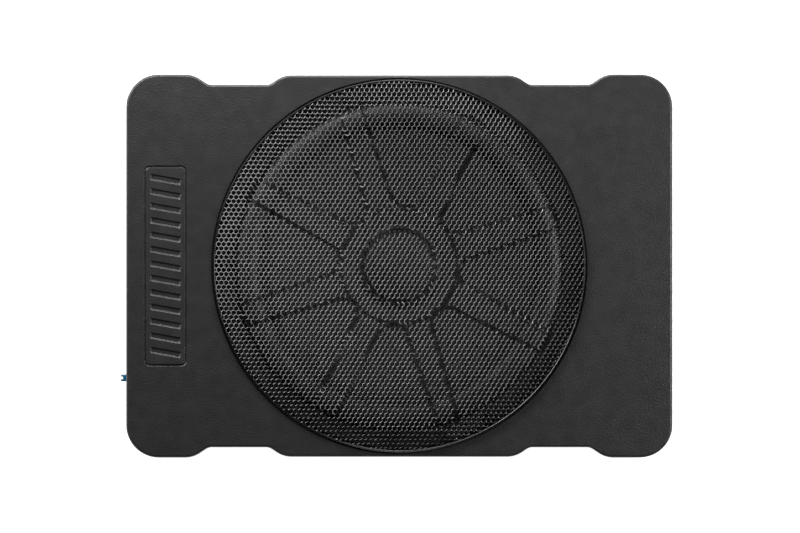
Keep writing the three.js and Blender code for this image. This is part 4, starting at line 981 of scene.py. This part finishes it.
CAP_THICK = 1 * mm
cap_radius = cap_high.x
cap_rise = cap_high.z - cap_low.z - CAP_THICK
over_cap, under_cap = [], []
for i in range(15):
    share = i / 14
    height = cap_rise * (1 - share * share)
    over_cap.append((cap_radius * share, cap_low.z + height + CAP_THICK))
    under_cap.append((cap_radius * share, cap_low.z + height))
cap = turned(over_cap + under_cap[::-1], sides=96)
fit(cap, "dust_dome", cone_paper, "cone_paper", "cone_assembly", "dust_cap")

# ---- Coil, spider and motor --------------------------------------------------------------------
# Under the cone a coil of copper wire on a polyimide former hangs in the gap of a ferrite magnet.
# The magnet is glued between a plated front plate and a plated yoke, and a woven and resin-dipped
# spider keeps the coil in the middle. The leads are braided copper.
copper = surface("copper", (0.42, 0.16, 0.07), (0.62, 0.27, 0.12), 0.32, 1.0, 2 * mm, 0.15 * mm, 0.03 * mm)
kapton = surface("kapton", (0.30, 0.13, 0.02), (0.42, 0.20, 0.04), 0.35, 0.0, 8 * mm, 0.5 * mm, 0.02 * mm)
cloth = surface(
    "spider_cloth", (0.36, 0.22, 0.08), (0.48, 0.31, 0.13), 0.9, 0.0, 3 * mm, 0.35 * mm, 0.15 * mm
)
zinc = surface(
    "zinc_steel", (0.42, 0.42, 0.40), (0.6, 0.6, 0.57), 0.35, 1.0, 3 * mm, 0.6 * mm, 0.02 * mm, 0.1
)
ferrite = surface(
    "ferrite", (0.022, 0.022, 0.024), (0.04, 0.04, 0.042), 0.7, 0.0, 5 * mm, 0.4 * mm, 0.06 * mm
)
dress(copper, "coil_winding")
dress(kapton, "coil_former")
dress(zinc, "front_plate", "yoke")
dress(ferrite, "magnet")

SPIDER_THICK = 0.8 * mm
SPIDER_WAVES = 4
spider_inner, spider_outer = neck_radius, spider_high.x
spider_middle = (spider_low.z + spider_high.z - SPIDER_THICK) / 2
spider_swing = (spider_high.z - spider_low.z - SPIDER_THICK) / 2
wave_from, wave_to = spider_inner + 4 * mm, magnet_radius - 3 * mm
under_spider = [(spider_inner, spider_middle), (wave_from, spider_middle)]
for i in range(1, 6 * SPIDER_WAVES):
    share = i / (6 * SPIDER_WAVES)
    rise = spider_swing * math.sin(2 * math.pi * SPIDER_WAVES * share)
    under_spider.append((wave_from + (wave_to - wave_from) * share, spider_middle + rise))
under_spider += [(wave_to, spider_middle), (spider_outer - 0.4 * mm, spider_middle)]
spider = turned(under_spider + [(r, z + SPIDER_THICK) for r, z in under_spider[::-1]], sides=96)
bend_between(
    spider, "cloth_spider", cloth, "spider",
    lambda p: (wave_to - p.xy.length) / (wave_to - wave_from),
)


def hose(points, radius, sides=10):
    """A round wire along a smooth line through points, turned into a mesh."""
    line = bpy.data.curves.new("wire", "CURVE")
    line.dimensions = "3D"
    line.bevel_depth = radius
    line.bevel_resolution = sides // 4
    line.use_fill_caps = True
    spline = line.splines.new("NURBS")
    spline.points.add(len(points) - 1)
    for node, point in zip(spline.points, points):
        node.co = (*point, 1)
    spline.order_u = 3
    spline.use_endpoint_u = True
    spline.resolution_u = 8
    wire = bpy.data.objects.new("wire", line)
    bpy.context.scene.collection.objects.link(wire)
    only(wire)
    bpy.ops.object.convert(target="MESH")
    pick(wire, "VERT", lambda v: True)
    bpy.ops.mesh.remove_doubles(threshold=0.01 * mm)
    leave()
    return wire


LEAD_RADIUS = 0.6 * mm
terminal_low, terminal_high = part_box("terminal_block")
for name in ("plus", "minus"):
    low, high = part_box(f"tinsel_lead_{name}")
    y = (low.y + high.y) / 2
    x_at = lambda share: low.x + LEAD_RADIUS + (high.x - low.x - 2 * LEAD_RADIUS) * share
    start_z = terminal_high.z - 3.5 * mm
    end_z = high.z - LEAD_RADIUS
    middle_z = (spider_high.z + neck_top) / 2 + 2 * mm
    lead = hose([
        (low.x, y, start_z), (x_at(0.08), y, start_z - 0.3 * mm), (x_at(0.3), y, (start_z + middle_z) / 2),
        (x_at(0.6), y, middle_z), (x_at(0.9), y, end_z - 0.6 * mm), (high.x - LEAD_RADIUS, y, end_z),
    ], LEAD_RADIUS)
    bend_between(
        lead, f"braided_lead_{name}", copper, f"tinsel_lead_{name}",
        lambda p: (p.x - low.x) / (high.x - low.x),
    )

# ---- Control panel -----------------------------------------------------------------------------
# A black anodised plate closes the bay. Its cut-outs are punched, plain white ticks are printed
# round the knobs and beside the switches, and four small screws hold it.
HOLE_MARGIN = 0.3 * mm
SHAFT_HOLE = 3.4 * mm
JACK_HOLE = 5.15 * mm
panel = block(panel_low, panel_high)
round_edges(panel, BAY_CORNER + BAY_RIM - CLEAR, lengthways, segments=8)
tools = []
for node in ("fuse_holder", "harness_socket", "remote_jack"):
    low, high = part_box(node)
    margin = Vector((0, HOLE_MARGIN, HOLE_MARGIN))
    tool = block(
        Vector((panel_low.x - OVER, low.y, low.z)) - margin,
        Vector((panel_high.x + OVER, high.y, high.z)) + margin,
    )
    tools.append(round_edges(tool, 0.6 * mm, lengthways))


def through_panel(node, radius, z=None):
    centre = middle_of(node)
    height = centre.z if z is None else z
    return rod(radius, (panel_low.x - OVER, centre.y, height), (panel_high.x + OVER, centre.y, height), 40)


KNOBS = ("gain", "crossover", "bass")
tools += [through_panel(f"{name}_knob", SHAFT_HOLE) for name in KNOBS]
tools += [through_panel(f"rca_jack_{side}", JACK_HOLE) for side in ("left", "right")]
tools.append(through_panel("power_led", 1.8 * mm))
SWITCH_RUN = {"level": (-2 * mm, 2 * mm), "phase": (0, 4 * mm)}
SLIDER_CLEAR = 0.4 * mm
SLIDER_WIDTH = 3.4 * mm
SLIDER_HEIGHT = 3 * mm
sliders = {}
for name, (back, forth) in SWITCH_RUN.items():
    centre = middle_of(f"{name}_switch")
    sliders[name] = centre
    half_width, half_height = SLIDER_WIDTH / 2 + SLIDER_CLEAR, SLIDER_HEIGHT / 2 + SLIDER_CLEAR
    tools.append(block(
        (panel_low.x - OVER, centre.y + back - half_width, centre.z - half_height),
        (panel_high.x + OVER, centre.y + forth + half_width, centre.z + half_height),
    ))
cut(panel, bundle(*tools))
round_edges(
    panel, 0.25 * mm, segments=2, wanted=in_face(panel_low.x)
)
panel_black = surface(
    "panel_black", (0.013, 0.013, 0.014), (0.018, 0.018, 0.019), 0.4, 0.0, 9 * mm, 0.25 * mm, 0.015 * mm
)
fit(panel, "panel_plate", panel_black, "black_plastic", "enclosure", "control_panel")

TICK = (0.12 * mm, 0.45 * mm, 1.5 * mm)  # stands proud, across, along
TICK_RING = 9.2 * mm
TICKS = 11
TICK_SWEEP = math.radians(280)
LONG_TICK = 1.6
ticks = []
for name in KNOBS:
    centre = middle_of(f"{name}_knob")
    for i in range(TICKS):
        angle = math.pi / 2 - TICK_SWEEP / 2 + TICK_SWEEP * i / (TICKS - 1)
        longer = LONG_TICK if i in (0, TICKS // 2, TICKS - 1) else 1
        tick = block((-TICK[0], -TICK[1] / 2, 0), (0, TICK[1] / 2, TICK[2] * longer))
        round_edges(tick, 0.1 * mm, lengthways, segments=2)
        tick.rotation_euler = (angle - math.pi / 2, 0, 0)
        tick.location = (
            panel_low.x, centre.y - TICK_RING * math.cos(angle), centre.z + TICK_RING * math.sin(angle)
        )
        ticks.append(settle(tick))
for name, (back, forth) in SWITCH_RUN.items():
    for run in (back, forth):
        y, z = sliders[name].y + run, sliders[name].z + SLIDER_HEIGHT / 2 + SLIDER_CLEAR + 0.6 * mm
        tick = block((panel_low.x - TICK[0], y - TICK[1] / 2, z), (panel_low.x, y + TICK[1] / 2, z + TICK[2]))
        ticks.append(round_edges(tick, 0.1 * mm, lengthways, segments=2))
length = 2.6 * mm
for side in ("left", "right"):
    centre = middle_of(f"rca_jack_{side}")
    y = centre.y - JACK_HOLE - 1.6 * mm
    tick = block(
        (panel_low.x - TICK[0], y - length, centre.z - TICK[1] / 2),
        (panel_low.x, y, centre.z + TICK[1] / 2),
    )
    ticks.append(round_edges(tick, 0.1 * mm, lengthways, segments=2))
print_white = surface(
    "print_white", (0.62, 0.62, 0.6), (0.72, 0.72, 0.7), 0.5, 0.0, 2 * mm, 0.2 * mm, 0.01 * mm
)
fit(bundle(*ticks), "panel_ticks", print_white, "black_plastic", "enclosure")

panel_bolt = screw(3 * mm)
panel_bolt.rotation_euler = (0, -math.pi / 2, 0)
settle(panel_bolt)
BOLT_SIZE = 0.62
BOLT_Y = bay_half - 4.6 * mm
BOLT_Z = (bay_high_z - bay_low_z - 8 * mm) / 2
bay_middle_z = (bay_low_z + bay_high_z) / 2
for i, (sy, sz) in enumerate(((-1, -1), (-1, 1), (1, -1), (1, 1)), start=1):
    bolt = copy_of(panel_bolt)
    bolt.scale = (BOLT_SIZE, BOLT_SIZE, BOLT_SIZE)
    bolt.rotation_euler = (0.7 * i, 0, 0)
    bolt.location = (panel_low.x, sy * BOLT_Y, bay_middle_z + sz * BOLT_Z)
    fit(bolt, f"panel_screw_{i}", black_steel, "black_screw", "enclosure")
bpy.data.objects.remove(panel_bolt)

# ---- Fuse and its holder -----------------------------------------------------------------------
# A blade fuse stands on edge in a black moulded holder, its head proud of the housing so that it can
# be pulled by hand. The fuse is clear blue plastic moulded round two tinned zinc blades.
black_plastic = surface(
    "black_plastic", (0.010, 0.010, 0.011), (0.015, 0.015, 0.016), 0.42, 0.0, 6 * mm, 0.3 * mm, 0.02 * mm
)
HOLDER_WALL = 2 * mm
PULL_CLEAR = 0.4 * mm
HEAD_LENGTH = 12 * mm
BLADE = (7 * mm, 0.8 * mm, 5.2 * mm)
BLADE_SPACING = 13 * mm
holder_low, holder_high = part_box("fuse_holder")
fuse_low, fuse_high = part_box("fuse")
fuse_mid = (fuse_low + fuse_high) / 2
head_back = fuse_low.x + HEAD_LENGTH
seat_x = head_back + PULL_CLEAR
inner = Vector((0, HOLDER_WALL, HOLDER_WALL))
holder = block(holder_low, holder_high)
round_edges(holder, 0.8 * mm, lengthways)
well = block(
    Vector((holder_low.x - OVER, holder_low.y, holder_low.z)) + inner,
    Vector((seat_x, holder_high.y, holder_high.z)) - inner,
)
cut(holder, round_edges(well, 0.4 * mm, lengthways))
for side in (-1, 1):
    middle = fuse_mid.z + side * BLADE_SPACING / 2
    cut(holder, slab(
        seat_x - OVER, head_back + BLADE[0] + OVER, fuse_mid.y, middle,
        BLADE[1] / 2 + PULL_CLEAR, BLADE[2] / 2 + PULL_CLEAR,
    ))
round_edges(holder, 0.4 * mm, in_face(holder_low.x), segments=2)
fit(holder, "fuse_seat", black_plastic, "black_plastic", "enclosure", "fuse_holder")

# The head's ends are grips, thicker than its waist, with a notch in the tip between two shoulders.
WAIST_DEPTH = 0.8 * mm
SHOULDER = 2.6 * mm
TIP_NOTCH_HALF = 0.9 * mm
TIP_NOTCH_DEPTH = 1.6 * mm
head = block(fuse_low, (head_back, fuse_high.y, fuse_high.z))
round_edges(head, 0.9 * mm, lengthways)
for side in (-1, 1):
    face = fuse_mid.y + side * (fuse_high.y - fuse_mid.y)
    ys = sorted((face - side * WAIST_DEPTH, face + side * OVER))
    waist = block(
        (fuse_low.x + 2.2 * mm, ys[0], fuse_low.z + SHOULDER),
        (head_back - 1.6 * mm, ys[1], fuse_high.z - SHOULDER),
    )
    cut(head, round_edges(waist, 0.5 * mm, lambda e: along(e, Y_AXIS)))
notch = block(
    (fuse_low.x - OVER, fuse_mid.y - TIP_NOTCH_HALF, fuse_low.z - OVER),
    (fuse_low.x + TIP_NOTCH_DEPTH, fuse_mid.y + TIP_NOTCH_HALF, fuse_high.z + OVER),
)
cut(head, notch)
for side in (-1, 1):
    test = rod(
        0.9 * mm, (fuse_low.x - OVER, fuse_mid.y, fuse_mid.z + side * BLADE_SPACING / 2),
        (fuse_low.x + 2.6 * mm, fuse_mid.y, fuse_mid.z + side * BLADE_SPACING / 2), 20
    )
    cut(head, test)
round_edges(head, 0.25 * mm, in_face(fuse_low.x), segments=2)
fuse_blue = surface(
    "fuse_blue", (0.0, 0.10, 0.24), (0.0, 0.20, 0.36), 0.2, 0.0, 3 * mm, 0.5 * mm, 0.01 * mm
)
fuse_shader = fuse_blue.node_tree.nodes["Principled BSDF"]
fuse_shader.inputs["Transmission Weight"].default_value = 0.35
fuse_shader.inputs["Coat Weight"].default_value = 0.4
fit(head, "fuse_head", fuse_blue, "fuse_plastic", "fuse_body", "fuse")
blades = []
for side in (-1, 1):
    middle = fuse_mid.z + side * BLADE_SPACING / 2
    blade = slab(
        head_back - 3 * mm, head_back + BLADE[0], fuse_mid.y, middle, BLADE[1] / 2, BLADE[2] / 2
    )
    blades.append(
        round_edges(blade, 0.25 * mm, lambda e: min(v.co.x for v in e.verts) > head_back, segments=2)
    )
tinned = surface("tinned_zinc", (0.5, 0.5, 0.5), (0.65, 0.65, 0.64), 0.3, 1.0, 2 * mm, 0.2 * mm, 0.01 * mm)
fit(bundle(*blades), "fuse_blades", tinned, "zinc_steel", "fuse_body")

# ---- Sockets -----------------------------------------------------------------------------------
# The power harness plugs into a deep latching shroud with flat blades in two rows, and the bass
# remote into a small modular jack with sprung gold wires. Both are moulded in black.
HARNESS_WALL = 2.2 * mm
HARNESS_WELL = 13 * mm
REMOTE_WALL = 1.7 * mm
REMOTE_WELL = 11 * mm


def shroud(node, wall, well):
    low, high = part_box(node)
    body = block(low, high)
    round_edges(body, 0.8 * mm, lengthways)
    hollow = block(
        (low.x - OVER, low.y + wall, low.z + wall), (low.x + well, high.y - wall, high.z - wall)
    )
    cut(body, round_edges(hollow, 0.5 * mm, lengthways))
    return body


harness_low, harness_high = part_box("harness_socket")
harness_mid = (harness_low + harness_high) / 2
harness = shroud("harness_socket", HARNESS_WALL, HARNESS_WELL)
LATCH_HALF = 3.5 * mm
RAIL_OFFSET = 7.5 * mm
cut(harness, block(
    (harness_low.x - OVER, harness_mid.y - LATCH_HALF, harness_high.z - HARNESS_WALL - OVER),
    (harness_low.x + 5 * mm, harness_mid.y + LATCH_HALF, harness_high.z - 0.9 * mm),
))
for side in (-1, 1):
    rail_y = harness_mid.y + side * RAIL_OFFSET
    cut(harness, block(
        (harness_low.x - OVER, rail_y - 0.7 * mm, harness_low.z + HARNESS_WALL - 0.8 * mm),
        (harness_low.x + HARNESS_WELL - OVER, rail_y + 0.7 * mm, harness_low.z + HARNESS_WALL + OVER),
    ))
round_edges(harness, 0.35 * mm, in_face(harness_low.x), segments=2)
fit(harness, "harness_shroud", black_plastic, "black_plastic", "enclosure", "harness_socket")
pins = []
PIN_PITCH = 4.6 * mm
PIN_ROW = 3 * mm
PIN_INSET = 3.5 * mm
for column in range(5):
    for line in (-1, 1):
        y = harness_mid.y + (column - 2) * PIN_PITCH
        z = harness_mid.z + line * PIN_ROW
        pin = slab(
            harness_low.x + PIN_INSET, harness_low.x + HARNESS_WELL + 0.5 * mm, y, z, 0.4 * mm, 0.8 * mm
        )
        pins.append(round_edges(pin, 0.2 * mm, in_face(harness_low.x + PIN_INSET)))
fit(bundle(*pins), "harness_pins", tinned, "zinc_steel", "enclosure")

remote_low, remote_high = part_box("remote_jack")
remote_mid = (remote_low + remote_high) / 2
remote = shroud("remote_jack", REMOTE_WALL, REMOTE_WELL)
cut(remote, block(
    (remote_low.x - OVER, remote_mid.y - 1.7 * mm, remote_high.z - REMOTE_WALL - OVER),
    (remote_low.x + REMOTE_WELL - OVER, remote_mid.y + 1.7 * mm, remote_high.z - 0.6 * mm),
))
round_edges(remote, 0.3 * mm, in_face(remote_low.x), segments=2)
fit(remote, "remote_shroud", black_plastic, "black_plastic", "enclosure", "remote_jack")
springs = []
for i in range(6):
    y = remote_mid.y + (i - 2.5) * 1.2 * mm
    foot_z = remote_low.z + REMOTE_WALL
    springs.append(hose([
        (remote_low.x + 1.2 * mm, y, foot_z + 0.3 * mm), (remote_low.x + 4 * mm, y, foot_z + 0.4 * mm),
        (remote_low.x + 8 * mm, y, foot_z + 2.4 * mm),
        (remote_low.x + REMOTE_WELL + 0.5 * mm, y, foot_z + 3.4 * mm),
    ], 0.22 * mm))
gold = surface("gold_plate", (0.75, 0.5, 0.16), (0.85, 0.6, 0.22), 0.25, 1.0, 2 * mm, 0.2 * mm, 0.005 * mm)
fit(bundle(*springs), "remote_springs", gold, "zinc_steel", "enclosure")

# ---- Power lamp --------------------------------------------------------------------------------
# A 3 mm green lens with a domed tip stands just proud of the panel.
led_low, led_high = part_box("power_led")
led_mid = (led_low + led_high) / 2
led_radius = (led_high.z - led_low.z) / 2
dome = [(led_radius * math.sin(a), led_radius * math.cos(a)) for a in (i * math.pi / 16 for i in range(9))]
led_depth = led_high.x - led_low.x
lens = turned(
    [(r, z - led_radius) for r, z in dome] + [(led_radius, -led_depth), (0, -led_depth)], sides=32
)
lens.rotation_euler = (0, -math.pi / 2, 0)
lens.location = (led_low.x, led_mid.y, led_mid.z)
settle(lens)
led_green = surface(
    "led_green", (0.02, 0.25, 0.06), (0.04, 0.34, 0.09), 0.15, 0.0, 3 * mm, 0.4 * mm, 0.005 * mm
)
led_shader = led_green.node_tree.nodes["Principled BSDF"]
led_shader.inputs["Transmission Weight"].default_value = 0.4
led_shader.inputs["Emission Color"].default_value = (0.1, 1.0, 0.3, 1)
led_shader.inputs["Emission Strength"].default_value = 0.25
fit(lens, "lamp_lens", led_green, "led_lens", "enclosure", "power_led")

# ---- Knobs -------------------------------------------------------------------------------------
# Each rotary control has a fluted black cap pressed on its shaft, with a white line as the pointer.
KNOB_RADIUS = 6.5 * mm
KNOB_HEIGHT = 8 * mm
FLUTES = 18
FLUTE_RADIUS = 0.7 * mm
SHAFT_RADIUS = 2.9 * mm
POINTER = 1.2 * mm
knob_low, knob_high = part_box("gain_knob")
knob_length = knob_high.x - knob_low.x
body = turned([
    (0, -0.5 * mm),
    (KNOB_RADIUS * 0.62, -0.5 * mm),
    (KNOB_RADIUS * 0.68, -0.1 * mm),
    (KNOB_RADIUS * 0.72, 0),
    (KNOB_RADIUS * 0.84, -0.05 * mm),
    (KNOB_RADIUS * 0.94, -0.6 * mm),
    (KNOB_RADIUS * 0.95, -5.6 * mm),
    (KNOB_RADIUS, -6.1 * mm),
    (KNOB_RADIUS, -KNOB_HEIGHT + 0.2 * mm),
    (KNOB_RADIUS * 0.97, -KNOB_HEIGHT),
    (SHAFT_RADIUS, -KNOB_HEIGHT),
    (SHAFT_RADIUS, -knob_length),
    (0, -knob_length),
], sides=72)
flutes = []
flute_ring = KNOB_RADIUS * 0.95 + FLUTE_RADIUS * 0.35
for i in range(FLUTES):
    angle = (i + 0.5) * 2 * math.pi / FLUTES
    x, y = flute_ring * math.cos(angle), flute_ring * math.sin(angle)
    flutes.append(rod(FLUTE_RADIUS, (x, y, -5.4 * mm), (x, y, OVER), 12))
cut(body, bundle(*flutes))
slot_cut = block((KNOB_RADIUS * 0.2, -POINTER / 2, -0.9 * mm), (KNOB_RADIUS * 1.1, POINTER / 2, OVER))
cut(body, slot_cut)
line = block(
    (KNOB_RADIUS * 0.22, -POINTER / 2 + 0.05 * mm, -0.95 * mm),
    (KNOB_RADIUS * 0.9, POINTER / 2 - 0.05 * mm, -0.35 * mm),
)
round_edges(line, 0.1 * mm, lambda e: min(v.co.z for v in e.verts) > -0.4 * mm, segments=2)
for name in KNOBS:
    centre = middle_of(f"{name}_knob")
    for part, label, finish, stands_for in (
        (body, "cap", black_plastic, (f"{name}_knob",)), (line, "pointer", print_white, ())
    ):
        piece = copy_of(part)
        piece.rotation_euler = (0, -math.pi / 2, 0)
        piece.location = (knob_low.x, centre.y, centre.z)
        settle(piece)
        fit(piece, f"{name}_{label}", finish, "black_plastic", f"{name}_control", *stands_for)
bpy.data.objects.remove(body)
bpy.data.objects.remove(line)

# ---- Slide switches ----------------------------------------------------------------------------
# A ridged nib moves in a slot of the panel. Its foot behind the panel keeps it in.
for name, rider in (("level", "level_slider"), ("phase", "phase_slider")):
    low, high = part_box(f"{name}_switch")
    centre = (low + high) / 2
    front = panel_high.x + 0.3 * mm
    nib = slab(low.x, front + OVER, centre.y, centre.z, SLIDER_WIDTH / 2, SLIDER_HEIGHT / 2)
    round_edges(nib, 0.35 * mm, lambda e: in_face(low.x)(e) or lengthways(e))
    for step in (-1, 0, 1):
        y = centre.y + step * 1 * mm
        cut(nib, block(
            (low.x - OVER, y - 0.2 * mm, low.z - OVER), (low.x + 0.35 * mm, y + 0.2 * mm, high.z + OVER)
        ))
    foot = block((front, low.y, low.z), high)
    weld(nib, round_edges(foot, 0.3 * mm, lambda e: True, segments=2))
    fit(nib, f"{name}_nib", black_plastic, "black_plastic", rider, f"{name}_switch")

# ---- Signal jacks ------------------------------------------------------------------------------
# Two phono jacks: a rolled nickel shell with a slotted rim round a coloured insulator, on one
# moulded block. White marks the left channel and red the right.
JACK_BORE = 1.7 * mm
COLLAR = 1.6 * mm
COLOURS = {
    "left": surface(
        "left_white", (0.6, 0.6, 0.58), (0.7, 0.7, 0.68), 0.35, 0.0, 3 * mm, 0.3 * mm, 0.01 * mm
    ),
    "right": surface(
        "right_red", (0.35, 0.012, 0.012), (0.45, 0.02, 0.018), 0.35, 0.0, 3 * mm, 0.3 * mm, 0.01 * mm
    ),
}
nickel = surface("nickel", (0.55, 0.54, 0.5), (0.68, 0.67, 0.63), 0.2, 1.0, 3 * mm, 0.3 * mm, 0.006 * mm)
for side, colour in COLOURS.items():
    low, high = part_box(f"rca_jack_{side}")
    centre = (low + high) / 2
    radius = (high.z - low.z) / 2
    length = high.x - low.x
    shell_part = turned([
        (radius - 0.7 * mm, -0.15 * mm),
        (radius - 0.35 * mm, 0),
        (radius - 0.05 * mm, -0.3 * mm),
        (radius - 0.05 * mm, -1.2 * mm),
        (radius - 0.25 * mm, -1.5 * mm),
        (radius - 0.25 * mm, -length + 3 * mm),
        (radius, -length + 2.8 * mm),
        (radius, -length),
        (JACK_BORE + 0.8 * mm, -length),
        (JACK_BORE + 0.8 * mm, -length + 2.5 * mm),
        (radius - 0.7 * mm, -length + 2.6 * mm),
    ], sides=64)
    core = turned([
        (JACK_BORE, -0.6 * mm),
        (JACK_BORE + 0.3 * mm, -0.4 * mm),
        (radius - 1 * mm, -0.4 * mm),
        (radius - 0.75 * mm, -0.7 * mm),
        (radius - 0.75 * mm, -length + 2.7 * mm),
        (JACK_BORE, -length + 2.7 * mm),
    ], sides=64)
    for part, label, finish, node_slot, stands_for in (
        (shell_part, "shell", nickel, "nickel", (f"rca_jack_{side}",)),
        (core, "insulator", colour, "black_plastic", ()),
    ):
        part.rotation_euler = (0, -math.pi / 2, 0)
        part.location = (low.x, centre.y, centre.z)
        settle(part)
        fit(part, f"{side}_jack_{label}", finish, node_slot, "enclosure", *stands_for)

# ---- Amplifier ---------------------------------------------------------------------------------
# A fibreglass board under green solder mask carries the potentiometers, the jack block, two sleeved
# capacitors and a wound toroid, with a finned aluminium heat sink below its edge. Wires in red and
# black run to the terminal block on the basket.
board_mask = surface(
    "board_mask", (0.006, 0.07, 0.025), (0.012, 0.11, 0.04), 0.4, 0.0, 12 * mm, 1.2 * mm, 0.05 * mm
)
sink_alloy = surface(
    "sink_alloy", (0.42, 0.43, 0.44), (0.52, 0.53, 0.54), 0.38, 0.9, 10 * mm, 0.3 * mm, 0.02 * mm
)
sleeve = surface(
    "capacitor_sleeve", (0.014, 0.02, 0.06), (0.02, 0.03, 0.08), 0.35, 0.0, 8 * mm, 0.4 * mm, 0.01 * mm
)
red_wire = surface(
    "red_wire", (0.32, 0.012, 0.012), (0.4, 0.02, 0.02), 0.45, 0.0, 4 * mm, 0.3 * mm, 0.01 * mm
)
black_wire = surface(
    "black_wire", (0.012, 0.012, 0.012), (0.02, 0.02, 0.02), 0.45, 0.0, 4 * mm, 0.3 * mm, 0.01 * mm
)
dress(board_mask, "amp_board")
dress(sink_alloy, "heat_sink")
dress(sleeve, "capacitor_1", "capacitor_2")
dress(copper, "inductor")
dress(red_wire, "speaker_wire_plus")
dress(black_wire, "speaker_wire_minus")
dress(black_plastic, "terminal_block", "gain_pot", "crossover_pot", "bass_pot", "rca_block")

# ---- Finish ------------------------------------------------------------------------------------
low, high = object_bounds()
